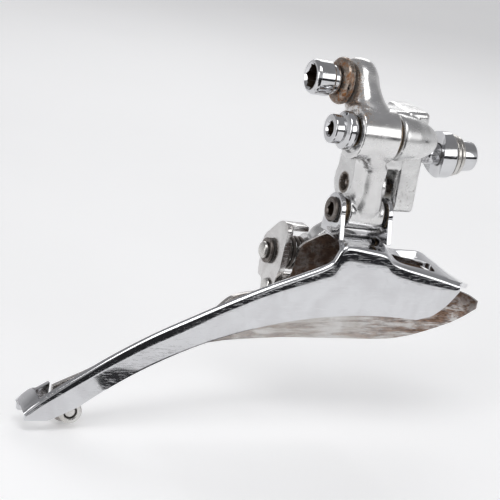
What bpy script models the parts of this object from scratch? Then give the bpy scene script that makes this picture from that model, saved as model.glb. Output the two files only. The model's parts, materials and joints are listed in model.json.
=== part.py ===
"""Front derailleur for a braze-on seat-tube tab, drive side of the bicycle.

Frame: the origin is on the fixing bolt's axis, in the plane of the mounting face.
+X runs forward along the fixing bolt, +Y inboard towards the bicycle, +Z up.
Lengths in this file are in millimetres, and MM turns them into metres.
The linkage's four pivots are parallel to each other and lean nose down by PIVOT_TILT:
the linkage pieces are drawn in that leaning frame, LINKAGE, in which x runs along the pivots.
"""
import math

import bmesh
import bpy
from mathutils import Matrix, Vector

MM = 0.001
GAP = 0.25                      # clearance between touching pieces
SEGMENTS = 28                   # sides of a round piece
SMALL_SEGMENTS = 20             # sides of a small round piece

# ---- linkage: pivots as (y, z) in the leaning frame
PIVOT_TILT = math.radians(3.2)
OUTER_UPPER = (-10.0, 5.0)
LINK_VECTOR = (4.7, -19.1)      # from an upper pivot to the lower pivot of the same link
INNER_OFFSET = (11.4, -14.1)    # from the outer link's pivots to the inner link's
OUTER_LOWER = (OUTER_UPPER[0] + LINK_VECTOR[0], OUTER_UPPER[1] + LINK_VECTOR[1])
INNER_UPPER = (OUTER_UPPER[0] + INNER_OFFSET[0], OUTER_UPPER[1] + INNER_OFFSET[1])
INNER_LOWER = (INNER_UPPER[0] + LINK_VECTOR[0], INNER_UPPER[1] + LINK_VECTOR[1])
CABLE_ANCHOR = (-1.5, 14.3)     # cable bolt's axis, on the outer link

# ---- round fits
OUTER_PIN_RADIUS = 2.0
INNER_PIN_RADIUS = 1.5
BUSH_WALL = 0.55
UPPER_BOSS_RADIUS = 6.1
UPPER_BOSS_SPAN = (-22.4, -13.1)
BODY_BOSS_FACE = -11.9          # rear face of the body's pivot boss
KNUCKLE_RADIUS = 3.9
KNUCKLE_SPAN = (-17.6, -8.9)
INNER_BARREL_RADIUS = 4.1
INNER_BARREL_SPAN = (-11.6, -6.4)
LOWER_BARREL_RADIUS = 4.9
LOWER_BARREL_SPAN = (-19.2, -14.3)

# ---- fixing bolt and its washers, along x in the mount frame
BOLT_RADIUS = 2.4
BOLT_HEAD = (11.4, 15.1)
BOLT_DEPTH = 7.6
RADIUS_WASHER = (4.6, 8.6)
RADIUS_WASHER_RADIUS = 5.4
TAB_CURVE = 10.4                # radius of the curved seat in the radius washer
LOCK_WASHER = (8.9, 9.9)
FLAT_WASHER = (10.2, 11.1)

# ---- other fasteners
CABLE_BOLT_RADIUS = 2.4
SCREW_RADIUS = 1.25             # the two limit screws and the tail's screw
SCREW_HEAD_RADIUS = 2.1
SCREW_HEAD_HEIGHT = 1.5
LOW_SCREW_PLACE = (-8.3, 6.2)   # x and y of its upright axis
HIGH_SCREW_PLACE = (-11.3, -1.9)    # x and z of its crosswise axis
RIVET_RADIUS = 1.1
RIVET_PLACE = (3.4, -35.9)      # y and z of the bracket's rivet
FLANGE_RIVET_RADIUS = 0.9
FLANGE_RIVETS = {"rear": (-14.0, -23.4), "front": (-8.0, -24.2)}     # x and z
TAIL_SCREW = (-78.2, -59.6)     # x and z of the screw that closes the tail

# ---- body
REAR_LUG_PLACE = (INNER_UPPER[0] + 1.0, INNER_UPPER[1] + 0.3)
SADDLE_LOW = (-5.8, -4.8, -13.2)
SADDLE_HIGH = (0.0, 7.0, 10.4)

# ---- chain cage
SHEET = 1.2                     # steel sheet
CAGE_Y = -12.8                  # middle of the outer plate's wall
CHAINRING_CENTRE = (-10.9, -143.9)
LOWER_EDGE_RADIUS = 108.7       # the lower edge follows a 53-tooth chainring
TAIL_Y = -7.6                   # middle of the tail's inner wall

LINKAGE = Matrix.Rotation(PIVOT_TILT, 4, "Y")
MOUNT = Matrix.Identity(4)

MATERIALS = {
    "chrome": ((0.78, 0.79, 0.80), 0.08, 1.0),
    "aluminium": ((0.74, 0.74, 0.74), 0.24, 1.0),
    "steel": ((0.58, 0.57, 0.55), 0.30, 1.0),
    "dark_steel": ((0.16, 0.14, 0.13), 0.45, 1.0),
    "rusted_steel": ((0.30, 0.18, 0.10), 0.60, 0.7),
    "bronze": ((0.55, 0.38, 0.18), 0.40, 1.0),
}


# ------------------------------------------------------------------ helpers
def clear_scene():
    for item in list(bpy.data.objects):
        bpy.data.objects.remove(item, do_unlink=True)


def make_materials():
    made = {}
    for name, (colour, roughness, metallic) in MATERIALS.items():
        material = bpy.data.materials.new(name)
        material.use_nodes = True
        shader = material.node_tree.nodes["Principled BSDF"]
        shader.inputs["Base Color"].default_value = (*colour, 1.0)
        shader.inputs["Roughness"].default_value = roughness
        shader.inputs["Metallic"].default_value = metallic
        made[name] = material
    return made


def make_collection(name):
    collection = bpy.data.collections.new(name)
    bpy.context.scene.collection.children.link(collection)
    return collection


def make_axis(name, frame, y, z):
    """An empty on a joint's axis, with its x along the axis."""
    empty = bpy.data.objects.new(name, None)
    empty.matrix_world = frame @ Matrix.Translation((0, y * MM, z * MM))
    empty.empty_display_size = 0.01
    PARTS.objects.link(empty)
    return empty


def mesh_object(name, mesh, frame):
    """Wrap a mesh as a guide: it joins or cuts a piece, unless finish makes it a node."""
    item = bpy.data.objects.new(name, mesh)
    item.matrix_world = frame
    item.hide_render = True
    item.display_type = "WIRE"
    CUTTERS.objects.link(item)
    return item


def from_bmesh(name, bm, frame):
    bmesh.ops.recalc_face_normals(bm, faces=bm.faces)
    mesh = bpy.data.meshes.new(name)
    bm.to_mesh(mesh)
    bm.free()
    return mesh_object(name, mesh, frame)


def box(name, low, high, frame=MOUNT, bevel=0.0):
    """A block between two corners, with rounded edges if bevel is given."""
    low_corner = Vector(low) * MM
    high_corner = Vector(high) * MM
    bm = bmesh.new()
    bmesh.ops.create_cube(bm, size=1.0)
    bmesh.ops.scale(bm, vec=high_corner - low_corner, verts=bm.verts)
    bmesh.ops.translate(bm, vec=(low_corner + high_corner) / 2, verts=bm.verts)
    item = from_bmesh(name, bm, frame)
    if bevel:
        add_bevel(item, bevel)
    return item


def add_bevel(item, width, segments=2, angle=35):
    bevel = item.modifiers.new("rounded_edges", "BEVEL")
    bevel.width = width * MM
    bevel.segments = segments
    bevel.limit_method = "ANGLE"
    bevel.angle_limit = math.radians(angle)


def cylinder(name, radius, span, centre=(0, 0), frame=MOUNT, end_radius=None, segments=SEGMENTS):
    """A round bar or a cone along x, from span[0] to span[1], around centre (y, z)."""
    length = (span[1] - span[0]) * MM
    last_radius = radius if end_radius is None else end_radius
    bm = bmesh.new()
    bmesh.ops.create_cone(bm, cap_ends=True, segments=segments, radius1=radius * MM,
                          radius2=last_radius * MM, depth=length)
    turn = Matrix.Rotation(math.pi / 2, 4, "Y")
    middle = Matrix.Translation(((span[0] + span[1]) / 2 * MM, centre[0] * MM, centre[1] * MM))
    bmesh.ops.transform(bm, matrix=middle @ turn, verts=bm.verts)
    return from_bmesh(name, bm, frame)


def turned(name, profile, centre=(0, 0), frame=MOUNT, hollow=False, segments=SEGMENTS):
    """A turned piece along x. The profile's (x, radius) points run from front to rear.

    A hollow profile goes on along the bore from rear to front and closes on itself.
    """
    bm = bmesh.new()
    points = [bm.verts.new((radius * MM, 0, x * MM)) for x, radius in profile]
    for first, second in zip(points, points[1:]):
        bm.edges.new((first, second))
    if hollow:
        bm.edges.new((points[-1], points[0]))
    mesh = bpy.data.meshes.new(name)
    bm.to_mesh(mesh)
    bm.free()
    turn = Matrix.Rotation(math.pi / 2, 4, "Y")
    place = Matrix.Translation((0, centre[0] * MM, centre[1] * MM))
    item = mesh_object(name, mesh, frame @ place @ turn)
    screw = item.modifiers.new("turned", "SCREW")
    screw.axis = "Z"
    screw.steps = segments
    screw.render_steps = segments
    screw.use_merge_vertices = True
    screw.merge_threshold = 0.000001
    return item


def hexagon_socket(name, across_flats, span, centre=(0, 0), frame=MOUNT):
    """The cutter of a hexagon socket, with a corner at the top."""
    corner_radius = across_flats / math.sqrt(3)
    item = cylinder(name, corner_radius, span, centre, frame, segments=6)
    return item


def plate(name, outline, span, frame=MOUNT, holes=(), bevel=0.0):
    """A flat plate square to x, from its (y, z) outline and round holes (y, z, radius)."""
    curve = bpy.data.curves.new(name, "CURVE")
    curve.dimensions = "2D"
    curve.fill_mode = "BOTH"
    curve.extrude = (span[1] - span[0]) / 2 * MM
    add_outline(curve, outline)
    for y, z, radius in holes:
        add_outline(curve, arc(y, z, radius, 0, 360, SMALL_SEGMENTS)[:-1])
    to_yz = Matrix(((0, 0, 1, 0), (1, 0, 0, 0), (0, 1, 0, 0), (0, 0, 0, 1)))
    middle = Matrix.Translation(((span[0] + span[1]) / 2 * MM, 0, 0))
    return curve_to_mesh(name, curve, frame @ middle @ to_yz, bevel)


def add_outline(curve, points):
    spline = curve.splines.new("POLY")
    spline.points.add(len(points) - 1)
    for point, (u, v) in zip(spline.points, points):
        point.co = (u * MM, v * MM, 0, 1)
    spline.use_cyclic_u = True


def curve_to_mesh(name, curve, frame, bevel=0.0):
    """Turn a curve into one closed mesh, its caps welded on."""
    source = bpy.data.objects.new(name + "_curve", curve)
    CUTTERS.objects.link(source)
    source.matrix_world = frame
    bpy.context.view_layer.update()
    evaluated = source.evaluated_get(bpy.context.evaluated_depsgraph_get())
    mesh = bpy.data.meshes.new_from_object(evaluated)
    mesh.name = name
    bm = bmesh.new()
    bm.from_mesh(mesh)
    bmesh.ops.remove_doubles(bm, verts=bm.verts, dist=0.000001)
    bmesh.ops.recalc_face_normals(bm, faces=bm.faces)
    bm.to_mesh(mesh)
    bm.free()
    bpy.data.objects.remove(source, do_unlink=True)
    item = mesh_object(name, mesh, frame)
    if bevel:
        add_bevel(item, bevel)
    return item


def wire(name, points, diameter, frame=MOUNT):
    """A round wire through points, with filled ends."""
    curve = bpy.data.curves.new(name, "CURVE")
    curve.dimensions = "3D"
    curve.bevel_depth = diameter / 2 * MM
    curve.bevel_resolution = 2
    curve.use_fill_caps = True
    spline = curve.splines.new("POLY")
    spline.points.add(len(points) - 1)
    for point, place in zip(spline.points, points):
        point.co = (place[0] * MM, place[1] * MM, place[2] * MM, 1)
    return curve_to_mesh(name, curve, frame)


def arc(y, z, radius, start, end, count):
    """Points of a round stretch, from start to end in degrees."""
    angles = [math.radians(start + (end - start) * step / count) for step in range(count + 1)]
    return [(y + radius * math.cos(angle), z + radius * math.sin(angle)) for angle in angles]


def sheet(name, rows, wanted, thickness=SHEET, frame=MOUNT):
    """A pressed sheet: a grid of points, thickened both ways. wanted(i, j) keeps a face."""
    bm = bmesh.new()
    grid = [[bm.verts.new(Vector(point) * MM) for point in row] for row in rows]
    for i in range(len(rows) - 1):
        for j in range(len(rows[0]) - 1):
            if wanted(i, j):
                bm.faces.new((grid[i][j], grid[i + 1][j], grid[i + 1][j + 1], grid[i][j + 1]))
    loose = [vertex for vertex in bm.verts if not vertex.link_faces]
    bmesh.ops.delete(bm, geom=loose, context="VERTS")
    item = from_bmesh(name, bm, frame)
    solidify = item.modifiers.new("sheet_thickness", "SOLIDIFY")
    solidify.thickness = thickness * MM
    solidify.offset = 0.0
    solidify.use_even_offset = True
    return item


def forged_bar(name, sections, frame=MOUNT, corners=16, squareness=3.2):
    """A bar of rounded-rectangle sections, lofted along its path.

    A section is (y, z, lean, half_thickness, x_rear, x_front): lean is the path's
    direction from straight down, in degrees, and the section is square to the path.
    """
    bm = bmesh.new()
    rings = []
    for y, z, lean, half_thickness, x_rear, x_front in sections:
        middle = (x_rear + x_front) / 2
        half_width = (x_front - x_rear) / 2
        across = Vector((0, math.cos(math.radians(lean)), math.sin(math.radians(lean))))
        ring = []
        for step in range(corners):
            angle = 2 * math.pi * (step + 0.5) / corners
            wide = rounded(math.cos(angle), squareness) * half_width
            thick = rounded(math.sin(angle), squareness) * half_thickness
            place = Vector((middle + wide, y, z)) + across * thick
            ring.append(bm.verts.new(place * MM))
        rings.append(ring)
    for first, second in zip(rings, rings[1:]):
        for step in range(corners):
            other = (step + 1) % corners
            bm.faces.new((first[step], first[other], second[other], second[step]))
    bm.faces.new(rings[0])
    bm.faces.new(rings[-1])
    return from_bmesh(name, bm, frame)


def rounded(value, squareness):
    """Coordinate of a superellipse for a circle's coordinate."""
    return math.copysign(abs(value) ** (2 / squareness), value)


def combine(target, operation, tools, solver):
    for tool in tools:
        modifier = target.modifiers.new(operation.lower(), "BOOLEAN")
        modifier.operation = operation
        modifier.object = tool
        modifier.solver = solver


def join(target, *tools, solver="EXACT"):
    combine(target, "UNION", tools, solver)


def cut(target, *tools, solver="EXACT"):
    combine(target, "DIFFERENCE", tools, solver)


def finish(item, material, parent, smooth_angle=32):
    """Make a shape a node of the part, on the empty that carries it."""
    CUTTERS.objects.unlink(item)
    PARTS.objects.link(item)
    item.hide_render = False
    item.display_type = "TEXTURED"
    item.data.materials.append(PALETTE[material])
    item.data.shade_smooth()
    item.data.set_sharp_from_angle(angle=math.radians(smooth_angle))
    place = item.matrix_world.copy()
    item.parent = parent
    item.matrix_parent_inverse = parent.matrix_world.inverted()
    item.matrix_basis = place
    return item


# ------------------------------------------------------------------ body and its fixings
def make_body(parent):
    """The cast body: mounting saddle, pivot boss, inner pivot's two lugs and screw housing."""
    body = box("body", SADDLE_LOW, SADDLE_HIGH, bevel=1.1)
    upper = box("body_upper", (-11.0, -4.8, -3.6), (-5.0, 3.6, 10.2), bevel=1.1)
    boss_profile = [(-1.2, 0), (-1.4, 1.6), (-2.6, 3.0), (-4.6, 4.0), (-7.4, 4.8),
                    (BODY_BOSS_FACE, 5.4), (BODY_BOSS_FACE, 0)]
    boss = turned("body_boss", boss_profile, OUTER_UPPER, LINKAGE)
    web = box("body_web", (-10.7, -9.6, 1.2), (-3.4, -3.2, 9.0), LINKAGE, 1.4)
    rear_wall = box("body_rear_wall", (-15.3, -2.6, -9.1), (-12.0, 6.5, 0.8), LINKAGE, 0.7)
    bridge = box("body_bridge", (-13.4, -2.4, -3.3), (-9.6, 6.0, 0.6), LINKAGE, 0.5)
    lug = cylinder("body_rear_lug", 4.4, (-15.3, -12.0), REAR_LUG_PLACE, LINKAGE)
    screw_housing = box("body_screw_housing", (-13.0, 3.0, -4.5), (-5.4, 8.6, 3.8), LINKAGE, 0.6)
    join(body, upper, boss, web, rear_wall, bridge, lug, screw_housing, solver="MANIFOLD")

    horn_room = box("body_horn_room", (-12.1, -3.4, -7.0), (-9.6, 4.7, -0.9), LINKAGE)
    fixing_hole = cylinder("body_fixing_hole", BOLT_RADIUS + GAP, (-BOLT_DEPTH - 0.6, 1.0))
    pivot_hole = cylinder("body_pivot_hole", OUTER_PIN_RADIUS + GAP, (-12.6, -3.4),
                          OUTER_UPPER, LINKAGE)
    inner_hole = cylinder("body_inner_hole", INNER_PIN_RADIUS + 0.1 + GAP, (-16.0, -2.6),
                          INNER_UPPER, LINKAGE, segments=SMALL_SEGMENTS)
    low_hole = across_cylinder("body_low_hole", SCREW_RADIUS + GAP, LOW_SCREW_PLACE,
                               (-12.0, 9.0), "Z")
    high_hole = across_cylinder("body_high_hole", SCREW_RADIUS + GAP, HIGH_SCREW_PLACE,
                                (2.0, 12.0), "Y")
    cut(body, horn_room, fixing_hole, pivot_hole, inner_hole,
        low_hole, high_hole, solver="MANIFOLD")
    return finish(body, "aluminium", parent)


def across_frame(place, direction):
    """Frame whose x runs up (Z) or inboard (Y) in the linkage, through place."""
    if direction == "Z":
        turn = Matrix.Rotation(-math.pi / 2, 4, "Y")
        move = Matrix.Translation((place[0] * MM, place[1] * MM, 0))
    else:
        turn = Matrix.Rotation(math.pi / 2, 4, "Z")
        move = Matrix.Translation((place[0] * MM, 0, place[1] * MM))
    return LINKAGE @ move @ turn


def across_cylinder(name, radius, place, span, direction):
    return cylinder(name, radius, span, frame=across_frame(place, direction),
                    segments=SMALL_SEGMENTS)


def limit_screw(name, place, direction, tip, seat, parent):
    """A pan-head screw whose point bears on a stop of the inner link."""
    radius = SCREW_RADIUS
    head_top = seat + SCREW_HEAD_HEIGHT
    profile = [(head_top, 0), (head_top, SCREW_HEAD_RADIUS - 0.5),
               (head_top - 0.4, SCREW_HEAD_RADIUS), (seat, SCREW_HEAD_RADIUS),
               (seat, radius), (tip + 0.5, radius), (tip, radius - 0.5), (tip, 0)]
    frame = across_frame(place, direction)
    screw = turned(name, profile, frame=frame, segments=SMALL_SEGMENTS)
    slot = box(name + "_slot", (head_top - 0.7, -3.0, -0.3), (head_top + 1.0, 3.0, 0.3), frame)
    cross = box(name + "_cross", (head_top - 0.7, -0.3, -1.2), (head_top + 1.0, 0.3, 1.2), frame)
    cut(screw, slot, cross)
    return finish(screw, "steel", parent)


def make_fixing(parent):
    """The fixing bolt, with the washers that grip the frame's curved tab."""
    rear, front = BOLT_HEAD
    profile = [(front, 0), (front, 3.0), (front - 0.4, 3.35), (rear, 3.75), (rear, BOLT_RADIUS),
               (-BOLT_DEPTH + 0.7, BOLT_RADIUS), (-BOLT_DEPTH, BOLT_RADIUS - 0.6),
               (-BOLT_DEPTH, 0)]
    bolt = turned("fixing_bolt", profile)
    cut(bolt, hexagon_socket("fixing_bolt_socket", 5.0, (front - 2.6, front + 1.0)))
    finish(bolt, "chrome", parent)

    bore = BOLT_RADIUS + GAP
    rear, front = RADIUS_WASHER
    outer = RADIUS_WASHER_RADIUS
    profile = [(front, bore), (front, outer - 0.5), (front - 0.5, outer), (rear, outer),
               (rear, bore)]
    washer = turned("radius_washer", profile, hollow=True)
    curve_middle = rear - math.sqrt(TAB_CURVE ** 2 - outer ** 2)
    seat = upright_cylinder("radius_washer_seat", TAB_CURVE, curve_middle, 8.0)
    cut(washer, seat)
    finish(washer, "chrome", parent)

    for name, (rear, front), outer in (("lock_washer", LOCK_WASHER, 4.9),
                                       ("flat_washer", FLAT_WASHER, 4.5)):
        profile = [(front, bore), (front, outer - 0.15), (front - 0.15, outer),
                   (rear + 0.15, outer), (rear, outer - 0.15), (rear, bore)]
        finish(turned(name, profile, hollow=True), "steel", parent)


def upright_cylinder(name, radius, x, half_height):
    bm = bmesh.new()
    bmesh.ops.create_cone(bm, cap_ends=True, segments=72, radius1=radius * MM,
                          radius2=radius * MM, depth=2 * half_height * MM)
    bmesh.ops.translate(bm, vec=(x * MM, 0, 0), verts=bm.verts)
    return from_bmesh(name, bm, MOUNT)


# ------------------------------------------------------------------ outer link
def make_outer_link(parent):
    """The forged arm: cable anchor at its top, the pivot boss, and the lower knuckle."""
    ky, kz = CABLE_ANCHOR
    oy, oz = OUTER_UPPER
    ly, lz = OUTER_LOWER
    up_lean = math.degrees(math.atan2(ky - oy, kz - oz))
    down_lean = math.degrees(math.atan2(LINK_VECTOR[0], -LINK_VECTOR[1]))
    up = Vector((math.sin(math.radians(up_lean)), math.cos(math.radians(up_lean))))
    down = Vector(LINK_VECTOR).normalized()

    def on_top(distance, half, rear, front):
        return (oy + up[0] * distance, oz + up[1] * distance, -up_lean, half, rear, front)

    def below(distance, half, rear, front, out=0.0):
        return (oy + down[0] * distance - out, oz + down[1] * distance, down_lean, half, rear,
                front)

    anchor = math.hypot(ky - oy, kz - oz)
    link = math.hypot(*LINK_VECTOR)
    sections = [
        on_top(anchor + 5.3, 1.6, -21.2, -17.4),
        on_top(anchor + 4.6, 3.3, -21.9, -16.4),
        on_top(anchor + 2.6, 4.9, -21.9, -15.7),
        on_top(anchor, 5.5, -21.9, -15.3),
        on_top(anchor - 3.2, 5.0, -21.9, -15.0),
        on_top(anchor - 6.2, 4.9, -22.1, -14.2),
        on_top(4.0, 5.4, -22.2, -13.4),
        below(0.0, 5.9, -22.2, -13.3),
        below(4.0, 4.8, -20.6, -13.2),
        below(7.4, 3.7, -18.2, -11.5, out=0.3),
        below(11.0, 3.6, -17.8, -11.4, out=0.8),
        below(14.2, 3.7, -17.4, -10.6, out=0.9),
        below(link - 1.8, 3.8, -17.5, -9.2, out=0.3),
        below(link + 1.2, 3.4, -17.5, -9.0),
        below(link + 3.3, 1.9, -17.3, -9.2),
    ]
    arm = forged_bar("outer_link", sections, LINKAGE, corners=20, squareness=2.5)
    boss = cylinder("outer_link_boss", UPPER_BOSS_RADIUS, UPPER_BOSS_SPAN, OUTER_UPPER, LINKAGE)
    knuckle = cylinder("outer_link_knuckle", KNUCKLE_RADIUS, KNUCKLE_SPAN, OUTER_LOWER, LINKAGE)
    join(arm, boss, knuckle)

    bore = OUTER_PIN_RADIUS + BUSH_WALL + 2 * GAP
    rear, front = UPPER_BOSS_SPAN
    upper_bore = cylinder("outer_link_upper_bore", bore + 0.4, (rear - 1, front + 1),
                          OUTER_UPPER, LINKAGE)
    recess = cylinder("outer_link_recess", 4.8, (rear - 1, rear + 0.6), OUTER_UPPER, LINKAGE)
    lower_bore = cylinder("outer_link_lower_bore", bore, (-20.0, -7.0), OUTER_LOWER, LINKAGE)
    anchor_hole = cylinder("outer_link_anchor_hole", CABLE_BOLT_RADIUS + GAP, (-25.0, -14.0),
                           CABLE_ANCHOR, LINKAGE, segments=SMALL_SEGMENTS)
    cut(arm, upper_bore, recess, lower_bore, anchor_hole)
    return finish(arm, "aluminium", parent)


def make_bush(name, pin_radius, wall, span, place, parent):
    """A plain bearing sleeve in a link's bore."""
    inner = pin_radius + GAP
    outer = inner + wall
    profile = [(span[1], inner), (span[1], outer), (span[0], outer), (span[0], inner)]
    bush = turned(name, profile, place, LINKAGE, hollow=True, segments=SMALL_SEGMENTS)
    return finish(bush, "bronze", parent)


def make_outer_upper_bolt(parent):
    """Stepped pivot bolt: a small head with a hexagon socket on a wider collar."""
    shank = OUTER_PIN_RADIUS
    profile = [(-4.0, 0), (-4.0, shank - 0.5), (-4.6, shank), (-22.05, shank), (-22.05, 3.0),
               (-22.9, 3.0), (-22.9, 4.1), (-23.2, 4.3), (-24.7, 4.3), (-25.1, 3.7),
               (-25.5, 2.9), (-25.8, 3.25), (-27.6, 3.25), (-27.9, 2.95), (-27.9, 0)]
    bolt = turned("outer_upper_pivot_bolt", profile, OUTER_UPPER, LINKAGE)
    cut(bolt, hexagon_socket("outer_upper_socket", 3.0, (-29.0, -25.6), OUTER_UPPER, LINKAGE))
    return finish(bolt, "chrome", parent)


def make_thrust_washer(parent):
    rear = UPPER_BOSS_SPAN[1] + 0.12
    front = BODY_BOSS_FACE - 0.12
    bore = OUTER_PIN_RADIUS + GAP
    profile = [(front, bore), (front, 4.4), (rear, 4.4), (rear, bore)]
    return finish(turned("thrust_washer", profile, OUTER_UPPER, LINKAGE, hollow=True),
                  "bronze", parent)


def make_cable_anchor(parent):
    """The socket-head bolt and the thick round washer that clamp the cable on the arm."""
    profile = [(-14.6, 0), (-14.6, 1.8), (-15.1, CABLE_BOLT_RADIUS), (-24.9, CABLE_BOLT_RADIUS),
               (-24.9, 3.3), (-26.3, 3.3), (-26.5, 3.8), (-26.8, 4.0), (-30.4, 4.0),
               (-31.0, 3.5), (-31.0, 0)]
    bolt = turned("cable_anchor_bolt", profile, CABLE_ANCHOR, LINKAGE)
    cut(bolt, hexagon_socket("cable_anchor_socket", 5.0, (-32.0, -27.6), CABLE_ANCHOR, LINKAGE))
    finish(bolt, "chrome", parent)

    bore = CABLE_BOLT_RADIUS + GAP
    profile = [(-22.2, bore), (-22.2, 4.6), (-22.6, 5.15), (-23.4, 5.35), (-24.1, 5.1),
               (-24.6, 4.4), (-24.6, bore)]
    washer = turned("cable_washer", profile, CABLE_ANCHOR, LINKAGE, hollow=True)
    finish(washer, "rusted_steel", parent)


# ------------------------------------------------------------------ inner link
def make_inner_link(parent):
    """The inner link: upper barrel between the body's lugs, offset shank, lower barrel."""
    uy, uz = INNER_UPPER
    lean = math.degrees(math.atan2(LINK_VECTOR[0], -LINK_VECTOR[1]))
    length = math.hypot(*LINK_VECTOR)
    down = Vector(LINK_VECTOR).normalized()

    def along(distance, half, rear, front):
        return (uy + down[0] * distance, uz + down[1] * distance, lean, half, rear, front)

    sections = [
        along(0.5, 2.4, -11.5, -6.6),
        along(4.6, 2.5, -11.8, -6.8),
        along(8.0, 2.4, -13.6, -8.4),
        along(11.5, 2.4, -16.6, -11.2),
        along(14.2, 2.6, -18.7, -14.0),
        along(length - 0.5, 3.2, -19.0, -14.5),
    ]
    link = forged_bar("inner_link", sections, LINKAGE)
    upper = cylinder("inner_link_upper", INNER_BARREL_RADIUS, INNER_BARREL_SPAN, INNER_UPPER,
                     LINKAGE)
    lower = cylinder("inner_link_lower", LOWER_BARREL_RADIUS, LOWER_BARREL_SPAN, INNER_LOWER,
                     LINKAGE)
    horn_outline = [(-0.7, -6.4), (-2.4, -2.2), (-0.4, -1.4), (2.2, -6.0)]
    horn = plate("inner_link_horn", horn_outline, (-11.8, -10.0), LINKAGE)
    stop_outline = [(3.0, -11.6), (3.0, -7.0), (7.6, -7.0), (7.6, -9.4)]
    stop = plate("inner_link_stop", stop_outline, (-9.4, -7.2), LINKAGE)
    join(link, upper, lower, horn, stop)

    bore = INNER_PIN_RADIUS + BUSH_WALL + 2 * GAP
    upper_bore = cylinder("inner_link_upper_bore", bore, (-13.0, -5.0), INNER_UPPER, LINKAGE)
    lower_bore = cylinder("inner_link_lower_bore", bore, (-21.0, -13.0), INNER_LOWER, LINKAGE)
    cut(link, upper_bore, lower_bore)
    return finish(link, "aluminium", parent)


def make_inner_upper_pin(parent):
    profile = [(-2.9, 0), (-2.9, 1.2), (-3.2, INNER_PIN_RADIUS + 0.1),
               (-14.2, INNER_PIN_RADIUS + 0.1), (-14.5, 1.2), (-14.5, 0)]
    pin = turned("inner_upper_pivot_pin", profile, INNER_UPPER, LINKAGE,
                 segments=SMALL_SEGMENTS)
    return finish(pin, "dark_steel", parent)


# ------------------------------------------------------------------ cage
def lower_edge(x):
    """Height of the outer plate's lower edge, an arc around the chainring."""
    centre_x, centre_z = CHAINRING_CENTRE
    return centre_z + math.sqrt(LOWER_EDGE_RADIUS ** 2 - (x - centre_x) ** 2)


# x, lower edge (None: the chainring arc), upper edge, roof middle z, roof end z, forward lead
OUTER_STATIONS = [
    (-88.8, -60.9, -59.6, -59.0, -59.2, 0),
    (-87.2, -61.0, -58.1, -57.5, -57.7, 0),
    (-85.6, -61.0, -56.8, -56.2, -56.4, 0),
    (-83.9, -60.9, -55.6, -55.2, -55.4, 0),
    (-82.3, -60.3, -54.5, -54.3, -54.4, 0),
    (-77.0, None, -50.9, -50.7, -50.9, 0),
    (-70.0, None, -46.3, -46.1, -46.3, 0),
    (-62.0, None, -41.7, -41.5, -41.7, 0),
    (-52.0, None, -36.8, -36.6, -36.8, 0),
    (-44.0, None, -33.0, -32.8, -33.0, 0),
    (-36.0, None, -29.5, -29.3, -29.5, 0),
    (-29.0, None, -26.8, -26.6, -26.8, 0),
    (-24.0, None, -24.8, -24.6, -24.8, 0),
    (-21.4, None, -23.2, -22.6, -22.8, 0),
    (-20.3, None, -20.8, -18.7, -18.7, 0),
    (-19.0, None, -19.7, -18.7, -18.7, 0),
    (-14.0, None, -20.3, -18.9, -18.9, 0),
    (-9.2, None, -21.2, -19.3, -19.3, 0),
    (-7.6, None, -22.6, -21.4, -21.5, 0.4),
    (-4.0, None, -23.9, -23.3, -22.9, 1.2),
    (1.0, None, -25.1, -24.0, -23.1, 2.6),
    (4.4, -35.0, -25.9, -25.3, -25.4, 4.0),
    (8.0, -32.4, -26.8, -27.3, -28.6, 6.0),
    (10.9, -28.8, -27.6, -29.0, -30.9, 8.4),
]
ROOF_END_Y = -2.6               # inboard edge of the roof over the chain
ROOF_REAR = 14                  # first station with the roof over the chain
WINDOW = (18, 21)               # stations of the window in the roof
TAIL_ROOF = 2                   # last station of the tail's closed end
TAIL_WALL = 4                   # last station of the tail's inner wall


def outer_row(station):
    """Cross-section of the outer plate: wall, shoulder, roof, and the tail's inner wall."""
    x, low, top, roof_middle, roof_end, lead = station
    bottom = lower_edge(x) if low is None else low
    height = top - bottom
    shoulder = min(1.2, height * 0.5)
    tail = x < -80
    end_y = TAIL_Y + 0.6 if tail else ROOF_END_Y
    middle_y = (CAGE_Y + end_y) / 2
    row = [
        (x, CAGE_Y, bottom),
        (x, CAGE_Y, (bottom + top - shoulder) / 2),
        (x, CAGE_Y, top - shoulder),
        (x, CAGE_Y + 0.25, top - 0.35 * shoulder),
        (x + 0.1 * lead, CAGE_Y + 0.95, top),
        (x + 0.5 * lead, middle_y, roof_middle),
        (x + lead, end_y, roof_end),
    ]
    wall_low = bottom + 0.2 if tail else roof_end - 1.0
    row.append((x + lead, end_y, (roof_end + wall_low) / 2))
    row.append((x + lead, end_y, wall_low))
    return row


def outer_face(i, j):
    """Which faces of the grid are sheet metal."""
    if j < 4:
        return True
    if j < 6:
        in_window = WINDOW[0] <= i < WINDOW[1] and j == 4
        return i < TAIL_ROOF or (i >= ROOF_REAR and not in_window)
    return i < TAIL_WALL


def ear_outline(foot):
    """Ear of the cage: a round top about the pivot and straight sides to the roof."""
    y, z = OUTER_LOWER
    top = arc(y, z, 3.9, 0, 180, 12)
    return [(y + 4.3, foot)] + top + [(y - 5.8, foot)]


def make_outer_plate(parent):
    rows = [outer_row(station) for station in OUTER_STATIONS]
    outer = sheet("outer_cage_plate", rows, outer_face)
    y, z = OUTER_LOWER
    hole = (y, z, OUTER_PIN_RADIUS + GAP)
    outline = ear_outline(-19.6)
    rear_ear = plate("outer_plate_rear_ear", outline, (-19.9, -18.75), LINKAGE, [hole])
    front_ear = plate("outer_plate_front_ear", outline, (-7.85, -6.7), LINKAGE, [hole])
    join(outer, rear_ear, front_ear)
    return finish(outer, "chrome", parent)


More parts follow.
